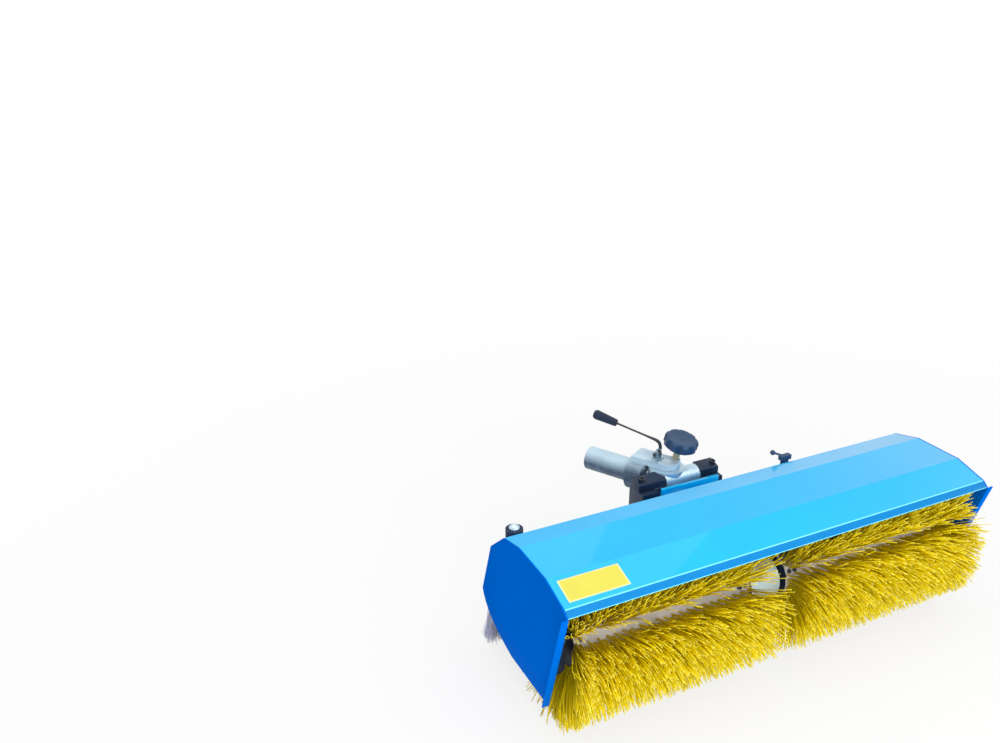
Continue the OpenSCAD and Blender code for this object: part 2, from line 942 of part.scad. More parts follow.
module bracket_bolt() {
  color(steel)
    on_ear()
      translate([bolt_at[0], bolt_at[1], bracket_t]) {
        rotate(30)
          cylinder(r = 2 * bracket_bolt_r, h = 6, $fn = 6);
        translate([0, 0, -bracket_t - 8])
          cylinder(r = bracket_bolt_r, h = bracket_t + 8.1);
      }
}

// Local frame with Z along the lever arm, from its bend
module on_arm() {
  translate([lever_u, journal_v, journal_h + bend_h])
    rotate([lever_slope - 90, 0, 0])
      children();
}

// Bent round rod: journal with a cam, upright and arm
module lever_arm() {
  color(steel)
    on_ear() {
      translate([-17, journal_v, journal_h])
        rotate([0, 90, 0])
          cylinder(r = arm_r, h = lever_u + 17);
      translate([brake_at[0] - 3.5, journal_v - cam_throw, journal_h])
        rotate([0, 90, 0])
          cylinder(r = cam_r, h = 7);
      translate([lever_u, journal_v, journal_h])
        sphere(r = arm_r + 0.5);
      translate([lever_u, journal_v, journal_h])
        cylinder(r = arm_r, h = bend_h);
      translate([lever_u, journal_v, journal_h + bend_h])
        sphere(r = arm_r + 0.5);
      on_arm()
        cylinder(r = arm_r, h = lever_len - grip_len + 12);
    }
}

module lever_collar() {
  color(steel)
    on_ear()
      translate([-12.4, journal_v, journal_h])
        rotate([0, 90, 0])
          ring(arm_r + 3, arm_r + seat_gap, 3);
}

module lever_grip() {
  color(black)
    on_ear()
      on_arm()
        difference() {
          translate([0, 0, lever_len - grip_len])
            rotate_extrude()
              polygon([
                [0, 0], [grip_r - 4, 0], [grip_r - 3, 2], [grip_r, grip_len - 6],
                [grip_r - 2, grip_len - 1], [grip_r - 4, grip_len], [0, grip_len]
              ]);
          cylinder(r = arm_r + seat_gap, h = lever_len - grip_len + 12 + seat_gap);
        }
}

// Pin through the upper ear, pushed down on the drum by the cam of the lever
module brake_pin() {
  top = journal_h - cam_r - cam_gap;
  color(steel)
    on_ear()
      translate([brake_at[0], brake_at[1], 0]) {
        translate([0, 0, brake_gap - free_gap - ear_t])
          cylinder(r = brake_pin_r - run_gap, h = ear_t + free_gap - brake_gap + bracket_t);
        translate([0, 0, bracket_t - 1])
          cylinder(r = brake_pin_r - 0.6, h = top - bracket_t + 1);
      }
}

// Local frame with Z along the stud of the knob, from the top of the upper ear
module on_knob() {
  on_ear()
    translate([knob_at[0], knob_at[1], 0])
      rotate([knob_tilt, 0, 0])
        children();
}

module hand_knob() {
  color(black)
    on_knob()
      translate([0, 0, knob_lift])
        difference() {
          rotate_extrude()
            polygon([
              [0, 0], [knob_r - 5, 0], [knob_r, 4], [knob_r, knob_h - 5],
              [knob_r - 3, knob_h - 1.5], [knob_r - 8, knob_h], [knob_r - 26, knob_h - 1.5],
              [0, knob_h - 1.5]
            ]);
          translate([0, 0, -1])
            cylinder(r = stud_r + seat_gap, h = knob_grip + 1 + seat_gap);
          for (a = [0:40:320])
            rotate([0, 0, a])
              translate([knob_r + 3.5, 0, -1])
                cylinder(r = 9, h = knob_h + 2);
        }
}

module knob_stud() {
  color(steel)
    on_knob() {
      translate([0, 0, 3 - ear_t])
        cylinder(r = stud_r - run_gap, h = ear_t - 3 + knob_lift + knob_grip);
      translate([0, 0, boss_lift])
        cylinder(r = stud_r + 2, h = knob_lift - boss_lift - seat_gap);
    }
}

// Shaft in the coupling tube, with the ball of the drive joint at its inner end
module input_shaft() {
  color(steel)
    at_head()
      difference() {
        union() {
          sphere(r = ball_r);
          on_tube(0, head_start, neck_r);
          on_tube(head_start - 2, tube_reach - 8, input_r);
        }
        cylinder(r = trunnion_r + seat_gap, h = 3 * ball_r, center = true);
        for (a = [0:60:300])
          rotate([0, a, 0])
            translate([input_r - 2.5, tube_reach - 30, -2.5])
              cube([10, 30, 5]);
      }
}

module trunnion_pin() {
  color(steel)
    at_head()
      cylinder(r = trunnion_r, h = 2 * trunnion_half, center = true);
}

// Slotted cup round the ball, on the shaft that runs down to the pinion
module drive_shaft() {
  color(steel)
    on_drive(drive_len)
      difference() {
        union() {
          translate([0, 0, -cup_end])
            cylinder(r = cup_r, h = cup_end + cup_rim);
          translate([0, 0, pinion_low - drive_len])
            cylinder(r = shaft_r, h = drive_len - pinion_low - cup_end + 1);
        }
        translate([0, 0, -cup_floor])
          cylinder(r = cup_bore, h = cup_floor + cup_rim + 1);
        translate([-slot_w / 2, -cup_r - 1, -slot_end])
          cube([slot_w, 2 * cup_r + 2, slot_end + cup_rim + 1]);
      }
}

// Outline of a gear with straight sided teeth, a tooth on the X axis
function gear_outline(teeth, r, add, ded) = [
  for (i = [0:teeth - 1])
    each [
      for (p = [[-0.30, -ded], [-0.12, add], [0.12, add], [0.30, -ded]])
        (r + p[1]) * [cos(360 / teeth * (i + p[0])), sin(360 / teeth * (i + p[0]))]
    ]
];

// Bevel teeth that taper towards the point where the two axes cross
module bevel_teeth(teeth, r, apex, cone) {
  translate([0, 0, apex])
    mirror([0, 0, 1])
      linear_extrude(apex * (1 - face_scale), scale = face_scale)
        polygon(gear_outline(teeth, r, tooth_add / cos(cone), tooth_ded / cos(cone)));
}

module bevel_pinion() {
  color(steel)
    on_drive(0)
      difference() {
        bevel_teeth(pinion_teeth, pinion_r, crown_r, pitch_angle);
        cylinder(r = shaft_r + seat_gap, h = crown_r + 1);
      }
}

module crown_gear() {
  color(steel)
    translate([drive_x, 0, axis_z])
      rotate([0, 90, 0])
        difference() {
          union() {
            rotate([0, 0, 90 + drive_slope + 180 / crown_teeth])
              bevel_teeth(crown_teeth, crown_r, pinion_r, 90 - pitch_angle);
            translate([0, 0, pinion_r - 1])
              cylinder(r = cross_r + 7, h = gear_half - gear_wall - pinion_r + 1 - free_gap);
          }
          cylinder(r = cross_r + seat_gap, h = gear_half);
        }
}

module cross_shaft() {
  color(steel)
    along_axis(-inner_x + 3, inner_x - 3, cross_r);
}

// Half of a core tube with end walls and half of each seam strip
module core_half(x, side) {
  end_t = 8;
  color(core_grey)
    translate([0, 0, axis_z])
      rotate([seam_angle, 0, 0])
        translate([0, 0, -axis_z])
          difference() {
            union() {
              along_axis(x[0], x[1], core_r);
              translate([x[0], -core_r - strip_t, axis_z - seam_w / 2])
                cube([x[1] - x[0], 2 * (core_r + strip_t), seam_w]);
            }
            along_axis(x[0] + end_t, x[1] - end_t, core_r - core_wall);
            along_axis(x[0] - 1, x[1] + 1, cross_r + seat_gap);
            translate([x[0] - 1, -2 * core_r, side > 0 ? axis_z - 2 * core_r : axis_z])
              cube([x[1] - x[0] + 2, 4 * core_r, 2 * core_r]);
          }
}

module left_core_front() {
  core_half(left_core_x, 1);
}

module left_core_rear() {
  core_half(left_core_x, -1);
}

module right_core_front() {
  core_half(right_core_x, 1);
}

module right_core_rear() {
  core_half(right_core_x, -1);
}

// Screw heads on the seam strips, near both ends of each core
module core_screws() {
  color(steel)
    for (x = [
      left_core_x[0] + 14, left_core_x[1] - 9, left_core_x[1] - 23,
      right_core_x[0] + 9, right_core_x[0] + 23, right_core_x[1] - 14
    ])
      for (a = [0, 180])
        translate([x, 0, axis_z])
          rotate([seam_angle + a, 0, 0])
            translate([0, core_r + strip_t, 0])
              rotate([-90, 0, 0])
                difference() {
                  cylinder(r = 4.5, h = 3.2);
                  translate([0, 0, 1.6])
                    cylinder(r = 2.4, h = 3, $fn = 6);
                }
}

hood_shell();
left_side_plate();
right_side_plate();
name_plate();
mount_plate();
left_clamp_base();
right_clamp_base();
left_clamp_cap();
right_clamp_cap();
clamp_screws();
pivot_drum();
torque_tube();
drive_bearings();
gearbox_body();
gearbox_cover();
gearbox_screws();
gearbox_bearings();
left_bearing_hub();
right_bearing_hub();
end_bearings();
hub_screws();
skirt_holder();
skirt_bristles();
buffer_body();
buffer_cap();
handle_post();
handle_bar();
handle_ball();
swivel_head();
coupling_tube();
kingpins();
input_bearings();
lever_bracket();
bracket_bolt();
lever_arm();
lever_collar();
lever_grip();
brake_pin();
hand_knob();
knob_stud();
input_shaft();
trunnion_pin();
drive_shaft();
bevel_pinion();
crown_gear();
cross_shaft();
left_core_front();
left_core_rear();
right_core_front();
right_core_rear();
core_screws();
left_bristles();
right_bristles();
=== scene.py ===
"""Dresses the power brush sweeper: painted sheet, cast and plated metal, strands and stage."""

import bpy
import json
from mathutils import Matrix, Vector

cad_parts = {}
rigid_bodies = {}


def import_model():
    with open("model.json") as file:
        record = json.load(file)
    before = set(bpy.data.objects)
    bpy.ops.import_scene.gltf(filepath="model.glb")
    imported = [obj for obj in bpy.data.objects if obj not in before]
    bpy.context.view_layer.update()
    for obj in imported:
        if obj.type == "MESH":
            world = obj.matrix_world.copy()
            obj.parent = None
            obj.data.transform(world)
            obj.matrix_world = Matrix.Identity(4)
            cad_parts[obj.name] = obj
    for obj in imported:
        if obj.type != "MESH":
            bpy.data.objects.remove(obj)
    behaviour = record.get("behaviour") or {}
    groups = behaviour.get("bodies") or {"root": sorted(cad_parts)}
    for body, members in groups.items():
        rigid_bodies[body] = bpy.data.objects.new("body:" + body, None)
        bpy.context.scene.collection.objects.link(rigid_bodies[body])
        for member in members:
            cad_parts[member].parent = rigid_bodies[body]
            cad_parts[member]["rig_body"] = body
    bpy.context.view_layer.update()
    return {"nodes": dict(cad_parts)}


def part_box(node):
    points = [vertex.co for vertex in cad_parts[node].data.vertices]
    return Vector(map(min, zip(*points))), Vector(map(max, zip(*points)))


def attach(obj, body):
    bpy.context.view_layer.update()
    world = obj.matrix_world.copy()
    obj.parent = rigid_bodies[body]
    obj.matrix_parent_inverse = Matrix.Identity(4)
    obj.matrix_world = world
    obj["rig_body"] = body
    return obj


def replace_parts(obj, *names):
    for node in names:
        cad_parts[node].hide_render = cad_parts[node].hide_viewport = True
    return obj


bl_info = {
    "name": "Power Brush Sweeper",
    "version": (1, 0, 0),
    "blender": (4, 5, 0),
    "location": "3D View > Sidebar > Sweeper",
    "description": "Builds the strands and finishes of a powered brush sweeper",
    "category": "Object",
}

import json
import math

import bmesh
import bpy
import numpy as np
from bpy.props import FloatProperty, FloatVectorProperty, IntProperty, PointerProperty
from mathutils import Matrix, Vector

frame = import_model()

# Brush, in metres and degrees: its axis, the outer and inner end of each half, and the seams of the core
AXIS_HEIGHT = 0.165
CORE_SPANS = {"left": (-0.466, -0.060), "right": (0.466, 0.036)}
SEAM_ANGLES = (148.0, 328.0)

# Strands: the limits that keep them off the plates and the middle tube, and the bare strip beside a seam
REACH = {"left": (-0.514, -0.0365), "right": (0.0125, 0.514)}
BARE_ANGLE = {"left": 8.0, "right": 5.0}
STRAND_STEPS = 4
WIDTH_RANGE = (0.8, 1.15)
BRUSH_SEED = 11

# Least height of a brush strand's line, and of the corners of any strand
LINE_FLOOR = 0.0012
CORNER_FLOOR = 0.0002

# How far the tips lean out at the outer end, lean in at the middle, and stray at the outer end
FLARE = {"left": 0.026, "right": 0.012}
INNER_FLARE = 0.026
STRAY_FLARE = 0.022
STRAY_SHARE = 0.1

# The close ring of tufts at the outer end: how many, and where along the half
END_TUFTS = 120
END_SHARE = 0.992

# Random spread of whole tufts, then of single strands: leans and turns in degrees, the rest in metres.
# TIP_LOSS is the most that a strand is broken off short
TUFT_LEAN = 2.0
TUFT_SLIDE = 0.004
ROOT_SHIFT = 0.0018
ROOT_TURN = 1.2
STRAND_LEAN = 2.8
STRAND_SLIDE = 0.007
TIP_CUT = 0.009
TIP_LOSS = 0.03

# Skirt: depth Y of its roots and half their thickness, their margin in X, and the width of a strand
SKIRT_DEPTH = 0.246
SKIRT_HALF = 0.005
SKIRT_MARGIN = 0.006
SKIRT_WIDTH = 0.0016
SKIRT_SEED = 41

# Drift of the skirt's tips: spread in X, flare at both ends, mean and spread in Y, power of t, tip cut
SKIRT_SPREAD = 0.009
SKIRT_FLARE = 0.014
SKIRT_LEAN = (0.004, 0.011)
SKIRT_POWER = 1.6
SKIRT_CUT = 0.006

# Limits of that drift: how far past the solid in X, and the depths from which the lean may reach the front
# and the back of the solid
SKIRT_OVERHANG = 0.008
SKIRT_LEAN_FROM = (0.244, 0.25)

# Coupling: where the swivel axis leaves the yoke's upper ear, and the directions along and across its tube
SWIVEL = Vector((-0.012, 0.32206, 0.290))
TUBE_RUN = Vector((-0.48481, 0.87462, 0.0))
TUBE_SIDE = Vector((0.87462, 0.48481, 0.0))

# Lever on the yoke: slope in degrees and length of the arm, then (across, along, up) of the corners from
# SWIVEL and the reach of each round. The first round starts outside the bracket's lug
LEVER_SLOPE = 8.0
LEVER_LENGTH = 0.133
LEVER_CORNERS = ((-0.017, 0.025, 0.014), (0.014, 0.025, 0.014), (0.014, 0.025, 0.036))
LEVER_ROUNDS = (0.0045, 0.015)
CAM_ENDS = ((-0.0045, 0.0215, 0.014), (0.0025, 0.0215, 0.014))
CAM_RADIUS = 0.007

# Radius of the lever's rod by the distance from its tip
ROD_PLACES = (0.0, 0.014, 0.0145, 0.07, 0.095, 0.125)
ROD_RADII = (0.004, 0.004, 0.0025, 0.0023, 0.0026, 0.004)
ROD_SIDES = 14
CAM_SIDES = 20
ROUND_POINTS = 9
ARM_POINTS = 30

# Rounded edges: corners closer than this are one, faces flatter than this merge, sharper edges are rounded
MERGE_DISTANCE = 2e-6
FLAT_ANGLE = math.radians(0.4)
SHARP_ANGLE = math.radians(12)

# A face looks along X when that part of its normal is larger than this
ALONG_X = 0.95

# Depth Y of the hood's lip: the painted highlight line on its fold, its band of painted shade and the
# painted highlight line on its edge, each from and to
LIP_BANDS = ((-0.1000, -0.1005, "Line"), (-0.1022, -0.1027, "Lip"), (-0.1128, -0.1132, "Line"))
LIP_COAT = 0.03

# Line round the bare plate: its colour, its width along X and Y, and its soft edge
BORDER_COLOUR = (0.82, 0.80, 0.34)
BORDER_WIDTHS = {"X": 0.0028, "Y": 0.0022}
BORDER_SOFT = 0.0003

# Fixed colours
# Painted shade: the darker blue on the hood's turned lip, where its steeper face is in shade
LIP_SHADE_BLUE = (0.0, 0.22, 0.58)
PLASTIC_BLACK = (0.024, 0.058, 0.122)
# Painted highlights: the paler tips of the brush strands and of the skirt strands
STRAND_TIP_HIGHLIGHT = (1.0, 0.90, 0.14)
SKIRT_TIP_HIGHLIGHT = (0.85, 0.86, 1.0)
YELLOW_PLATING = (0.62, 0.53, 0.34)
DARK_STEEL = (0.06, 0.07, 0.08)
DUST = (0.30, 0.27, 0.22)
# Painted shade: the slate for the yoke and the coupling tube and the brownish grey for the cross tube darken
# their lower parts, standing in for the shade under them
SHADE_SLATE = (0.035, 0.07, 0.13)
SHADE_BROWN = (0.2, 0.18, 0.18)

# Dust and shade by height: colour, full below, none above, amount. On the sheet and the core it is ground
# dust; on the yoke, tube and bar it is a painted shade on their undersides
SHEET_DUST = (DUST, 0.0, 0.12, 0.05)
CORE_DUST = (DUST, 0.0, 0.15, 0.3)
YOKE_SHADE = (SHADE_SLATE, 0.252, 0.280, 1.0)
TUBE_SHADE = (SHADE_SLATE, 0.236, 0.260, 1.0)
BAR_SHADE = (SHADE_BROWN, 0.232, 0.27, 0.8)

# Specular level of enamel, metal and plastic, where 0.5 is the shader's own
LOW_SPECULAR = 0.3

# Stage: floor, its own white as (distance, share) near and far, lamps as (name, place, size, power), the
# point they face, and the camera's target and sensor in millimetres
FLOOR_HALF = 20.0
FLOOR_HEIGHT = -0.0005
FLOOR_TONES = ((0.93, 0.93, 0.93), (0.91, 0.91, 0.915))
WHITE_NEAR = (0.7, 0.78)
WHITE_FAR = (2.2, 1.0)
LAMPS = (
    ("key lamp", (1.0, -1.6, 2.9), 2.4, 18.0),
    ("top lamp", (-0.3, 0.9, 3.0), 2.8, 24.0),
    ("front lamp", (-0.6, -2.7, 0.95), 2.2, 56.0),
)
LAMP_AIM = Vector((0.0, 0.05, 0.2))
CAMERA_TARGET = Vector((-0.373417, 0.468155, 0.52997))
SENSOR_WIDTH = 36.0

# Which finish each solid wears, with the width of its rounded edges where it has them
PAINTED_SHEETS = {"hood_shell": 0.0009, "left_side_plate": 0.0007, "right_side_plate": 0.0007,
                  "mount_plate": 0.001, "skirt_holder": 0.0006}
BLACK_BLOCKS = {"left_clamp_cap": 0.0012, "right_clamp_cap": 0.0012, "left_clamp_base": 0.0012,
                "right_clamp_base": 0.0012}
BLACK_METAL = ("left_bearing_hub", "right_bearing_hub")
BLACK_PLASTIC = ("hand_knob", "handle_post", "handle_bar", "handle_ball")
BLACK_RUBBER = ("lever_grip", "buffer_body")
CAST_PIECES = ("gearbox_body", "gearbox_cover", "torque_tube")
CORE_PIECES = ("left_core_front", "left_core_rear", "right_core_front", "right_core_rear")


class SweeperColours(bpy.types.PropertyGroup):
    """Colours of the finishes, as linear values."""

    # The hood and the side plates wear one enamel: the hood's blue is lighter for the light on its facets,
    # the plates' blue darker as a painted shade on their sides
    hood_lit_blue: FloatVectorProperty(
        name="Hood blue", description="Enamel on the folded hood", subtype="COLOR", size=3,
        min=0.0, max=1.0, default=(0.0, 0.52, 1.0))
    plate_shade_blue: FloatVectorProperty(
        name="Plate blue", description="Enamel on the side plates", subtype="COLOR", size=3,
        min=0.0, max=1.0, default=(0.0, 0.150, 0.72))
    black: FloatVectorProperty(
        name="Black", description="Blocks, hubs, grip and buffer", subtype="COLOR", size=3,
        min=0.0, max=1.0, default=(0.013, 0.025, 0.055))
    strand_gold: FloatVectorProperty(
        name="Strand gold", description="Middle of a brush strand", subtype="COLOR", size=3,
        min=0.0, max=1.0, default=(0.91, 0.71, 0.003))
    skirt_grey: FloatVectorProperty(
        name="Skirt grey", description="Middle of a skirt strand", subtype="COLOR", size=3,
        min=0.0, max=1.0, default=(0.78, 0.80, 1.0))
    core_grey: FloatVectorProperty(
        name="Core grey", description="Moulded core of the brush", subtype="COLOR", size=3,
        min=0.0, max=1.0, default=(0.42, 0.40, 0.41))
    metal_grey: FloatVectorProperty(
        name="Metal grey", description="Tube, yoke and gearbox", subtype="COLOR", size=3,
        min=0.0, max=1.0, default=(0.62, 0.80, 0.92))
    plate_yellow: FloatVectorProperty(
        name="Plate yellow", description="Bare plate on the front facet", subtype="COLOR", size=3,
        min=0.0, max=1.0, default=(0.78, 0.70, 0.05))


class SweeperBrush(bpy.types.PropertyGroup):
    """Sizes of the strands."""

    tuft_columns: IntProperty(
        name="Tufts along", description="Tufts along one half of the brush", min=8, max=80, default=44)
    tuft_rows: IntProperty(
        name="Tufts round", description="Tufts round one core half", min=4, max=30, default=17)
    tuft_strands: IntProperty(
        name="Strands in a tuft", description="Strands that share one root", min=2, max=20, default=6)
    strand_width: FloatProperty(
        name="Strand width", description="Width of a brush strand at its root", unit="LENGTH",
        min=0.001, max=0.005, default=0.0022)
    root_radius: FloatProperty(
        name="Root radius", description="From the brush axis to the strand roots", unit="LENGTH",
        min=0.045, max=0.06, default=0.0515)
    tip_radius: FloatProperty(
        name="Tip radius", description="From the brush axis to the longest tips", unit="LENGTH",
        min=0.12, max=0.1655, default=0.1655)
    skirt_strands: IntProperty(
        name="Skirt strands", description="Strands in the rear skirt", min=200, max=12000, default=6500)


class SweeperStage(bpy.types.PropertyGroup):
    """Camera and light."""

    azimuth: FloatProperty(
        name="Azimuth", description="Turn of the camera round the object", subtype="ANGLE",
        default=math.radians(-24.618))
    elevation: FloatProperty(
        name="Elevation", description="Height angle of the camera", subtype="ANGLE",
        default=math.radians(22.49))
    roll: FloatProperty(
        name="Roll", description="Tilt of the camera", subtype="ANGLE", default=math.radians(-0.781))
    distance: FloatProperty(
        name="Distance", description="From the camera to its target", unit="LENGTH", default=2.0242)
    lens: FloatProperty(name="Lens", description="Focal length in millimetres", default=32.62)
    ambient: FloatProperty(
        name="Ambient", description="Strength of the even light", min=0.0, max=2.0, default=0.6)


class SweeperSettings(bpy.types.PropertyGroup):
    """All settings of the sweeper."""

    colours: PointerProperty(type=SweeperColours)
    brush: PointerProperty(type=SweeperBrush)
    stage: PointerProperty(type=SweeperStage)


# Node helpers


def linked(tree, kind, inputs=None, **settings):
    """A new node with its settings, and its inputs either linked from a socket or set to a value."""
    node = tree.nodes.new(kind)
    for key, value in settings.items():
        setattr(node, key, value)
    for key, value in (inputs or {}).items():
        if isinstance(value, bpy.types.NodeSocket):
            tree.links.new(value, node.inputs[key])
        else:
            node.inputs[key].default_value = value
    return node


def rgba(colour, factor=1.0):
    """A colour with full alpha, made lighter or darker by a factor."""
    return tuple(min(1.0, c * factor) for c in colour) + (1.0,)


def new_group(name, inputs, outputs):
    """An empty shader group with named sockets: (name, socket type, default)."""
    group = bpy.data.node_groups.new(name, "ShaderNodeTree")
    for label, kind, default in inputs:
        socket = group.interface.new_socket(label, in_out="INPUT", socket_type=kind)
        socket.default_value = default
    for label, kind in outputs:
        group.interface.new_socket(label, in_out="OUTPUT", socket_type=kind)
    return group, group.nodes.new("NodeGroupInput"), group.nodes.new("NodeGroupOutput")


def aged_finish_group():
    """Cloudy colour, uneven gloss and a fine surface grain, all from noise on Object coordinates."""
    found = bpy.data.node_groups.get("Aged finish")
    if found:
        return found
    group, ins, outs = new_group(
        "Aged finish",
        [("Colour", "NodeSocketColor", (0.5, 0.5, 0.5, 1)),
         ("Shade", "NodeSocketColor", (0.4, 0.4, 0.4, 1)),
         ("Cloud size", "NodeSocketFloat", 8.0), ("Smooth", "NodeSocketFloat", 0.2),
         ("Rough", "NodeSocketFloat", 0.4), ("Grain size", "NodeSocketFloat", 300.0),
         ("Grain height", "NodeSocketFloat", 0.05), ("Stretch", "NodeSocketVector", (1, 1, 1))],
        [("Colour", "NodeSocketColor"), ("Roughness", "NodeSocketFloat"), ("Normal", "NodeSocketVector")])
    place = linked(group, "ShaderNodeTexCoord").outputs["Object"]
    cloud = linked(group, "ShaderNodeTexNoise", {
        "Vector": place, "Scale": ins.outputs["Cloud size"], "Detail": 4.0, "Roughness": 0.6})
    mask = linked(group, "ShaderNodeMapRange", {
        "Value": cloud.outputs["Fac"], "From Min": 0.35, "From Max": 0.68})
    colour = linked(group, "ShaderNodeMix", {
        0: mask.outputs["Result"], 6: ins.outputs["Colour"], 7: ins.outputs["Shade"]}, data_type="RGBA")
    gloss = linked(group, "ShaderNodeMapRange", {
        "Value": cloud.outputs["Fac"], "From Min": 0.3, "From Max": 0.7,
        "To Min": ins.outputs["Smooth"], "To Max": ins.outputs["Rough"]})
    drawn = linked(group, "ShaderNodeVectorMath", {
        0: place, 1: ins.outputs["Stretch"]}, operation="MULTIPLY")
    grain = linked(group, "ShaderNodeTexNoise", {
        "Vector": drawn.outputs["Vector"], "Scale": ins.outputs["Grain size"], "Detail": 2.0})
    bump = linked(group, "ShaderNodeBump", {
        "Strength": ins.outputs["Grain height"], "Distance": 0.001, "Height": grain.outputs["Fac"]})
    group.links.new(colour.outputs[2], outs.inputs["Colour"])
    group.links.new(gloss.outputs["Result"], outs.inputs["Roughness"])
    group.links.new(bump.outputs["Normal"], outs.inputs["Normal"])
    return group


def height_dust_and_shade_group():
    """Mixes a colour in below a height, ground dust on some finishes and a painted shade on others: none
    above High, the full amount below Low, broken by noise.
    """
    found = bpy.data.node_groups.get("Height dust and shade")
    if found:
        return found
    group, ins, outs = new_group(
        "Height dust and shade",
        [("Colour", "NodeSocketColor", (0.5, 0.5, 0.5, 1)), ("Shade", "NodeSocketColor", rgba(DUST)),
         ("Low", "NodeSocketFloat", 0.0), ("High", "NodeSocketFloat", 0.15),
         ("Amount", "NodeSocketFloat", 0.3)],
        [("Colour", "NodeSocketColor")])
    place = linked(group, "ShaderNodeTexCoord").outputs["Object"]
    parts = linked(group, "ShaderNodeSeparateXYZ", {"Vector": place})
    fade = linked(group, "ShaderNodeMapRange", {
        "Value": parts.outputs["Z"], "From Min": ins.outputs["High"], "From Max": ins.outputs["Low"],
        "To Min": 0.0, "To Max": ins.outputs["Amount"]})
    specks = linked(group, "ShaderNodeTexNoise", {"Vector": place, "Scale": 45.0, "Detail": 5.0})
    uneven = linked(group, "ShaderNodeMapRange", {
        "Value": specks.outputs["Fac"], "From Min": 0.3, "From Max": 0.7, "To Min": 0.8, "To Max": 1.0})
    amount = linked(group, "ShaderNodeMath", {
        0: fade.outputs["Result"], 1: uneven.outputs["Result"]}, operation="MULTIPLY")
    colour = linked(group, "ShaderNodeMix", {
        0: amount.outputs["Value"], 6: ins.outputs["Colour"], 7: ins.outputs["Shade"]}, data_type="RGBA")
    group.links.new(colour.outputs[2], outs.inputs["Colour"])
    return group


def fold_shade_and_highlights_group():
    """Paints the turned lip darker as a painted shade and less glossy, with a painted highlight line on its
    fold and edge, by depth Y.
    """
    found = bpy.data.node_groups.get("Fold shade and highlights")
    if found:
        return found
    # The Lip colour is the painted shade of the lip, the Line colour the painted highlight on its fold and
    # edge
    group, ins, outs = new_group(
        "Fold shade and highlights",
        [("Colour", "NodeSocketColor", (0.5, 0.5, 0.5, 1)), ("Lip", "NodeSocketColor", rgba(LIP_SHADE_BLUE)),
         ("Line", "NodeSocketColor", (0.2, 0.8, 1.0, 1)), ("Coat", "NodeSocketFloat", 0.4)],
        [("Colour", "NodeSocketColor"), ("Gloss", "NodeSocketFloat")])
    place = linked(group, "ShaderNodeTexCoord").outputs["Object"]
    depth = linked(group, "ShaderNodeSeparateXYZ", {"Vector": place}).outputs["Y"]
    painted = ins.outputs["Colour"]
    for start, end, colour in LIP_BANDS:
        mask = linked(group, "ShaderNodeMapRange", {"Value": depth, "From Min": start, "From Max": end})
        painted = linked(group, "ShaderNodeMix", {
            0: mask.outputs["Result"], 6: painted, 7: ins.outputs[colour]}, data_type="RGBA").outputs[2]
    gloss = linked(group, "ShaderNodeMapRange", {
        "Value": depth, "From Min": LIP_BANDS[0][0], "From Max": LIP_BANDS[1][1],
        "To Min": ins.outputs["Coat"], "To Max": LIP_COAT})
    group.links.new(painted, outs.inputs["Colour"])
    group.links.new(gloss.outputs["Result"], outs.inputs["Gloss"])
    return group


def finish(name, colour, shade, low_dust_and_shade=None, lip=None, constants=None, **values):
    """A Principled material whose colour, gloss and grain come from the aged finish.

    The dust-and-shade argument, if given, is (colour, low, high, amount) for the height group: ground dust
    for some finishes and a painted shade on the underside for others. The lip argument, if given, is the
    darker blue painted on the hood's lip as shade, with painted highlight lines on its fold and edge, and
    the coat is then thinner there.
    """
    material = bpy.data.materials.get(name)
    if material:
        return material
    material = bpy.data.materials.new(name)
    material.use_nodes = True
    tree = material.node_tree
    shader = tree.nodes["Principled BSDF"]
    aged = linked(tree, "ShaderNodeGroup", node_tree=aged_finish_group())
    aged.inputs["Colour"].default_value = rgba(colour)
    aged.inputs["Shade"].default_value = rgba(shade)
    for key, value in values.items():
        aged.inputs[key.replace("_", " ").capitalize()].default_value = value
    painted = aged.outputs["Colour"]
    if lip:
        folds = linked(tree, "ShaderNodeGroup", node_tree=fold_shade_and_highlights_group())
        tree.links.new(painted, folds.inputs["Colour"])
        folds.inputs["Lip"].default_value = rgba(lip)
        folds.inputs["Coat"].default_value = constants["Coat Weight"]
        tree.links.new(folds.outputs["Gloss"], shader.inputs["Coat Weight"])
        painted = folds.outputs["Colour"]
    if low_dust_and_shade:
        tint, low, high, amount = low_dust_and_shade
        shaded = linked(tree, "ShaderNodeGroup", node_tree=height_dust_and_shade_group())
        tree.links.new(painted, shaded.inputs["Colour"])
        for key, value in (("Shade", rgba(tint)), ("Low", low), ("High", high), ("Amount", amount)):
            shaded.inputs[key].default_value = value
        painted = shaded.outputs["Colour"]
    tree.links.new(painted, shader.inputs["Base Color"])
    tree.links.new(aged.outputs["Roughness"], shader.inputs["Roughness"])
    tree.links.new(aged.outputs["Normal"], shader.inputs["Normal"])
    for key, value in (constants or {}).items():
        shader.inputs[key].default_value = value
    return material


def enamel(name, colour, gloss, lip=None):
    """Enamel: a clear coat over a lightly clouded blue, with a faint orange peel and some ground dust, and
    on the hood the painted shade and highlight lines of its lip.
    """
    shine = {"Coat Weight": gloss, "Coat Roughness": 0.05, "Specular IOR Level": LOW_SPECULAR * gloss}
    return finish(name, colour, [c * 0.92 for c in colour], low_dust_and_shade=SHEET_DUST, lip=lip, constants=shine,
                  cloud_size=3.0, smooth=0.3, rough=0.42, grain_size=260.0, grain_height=0.03)


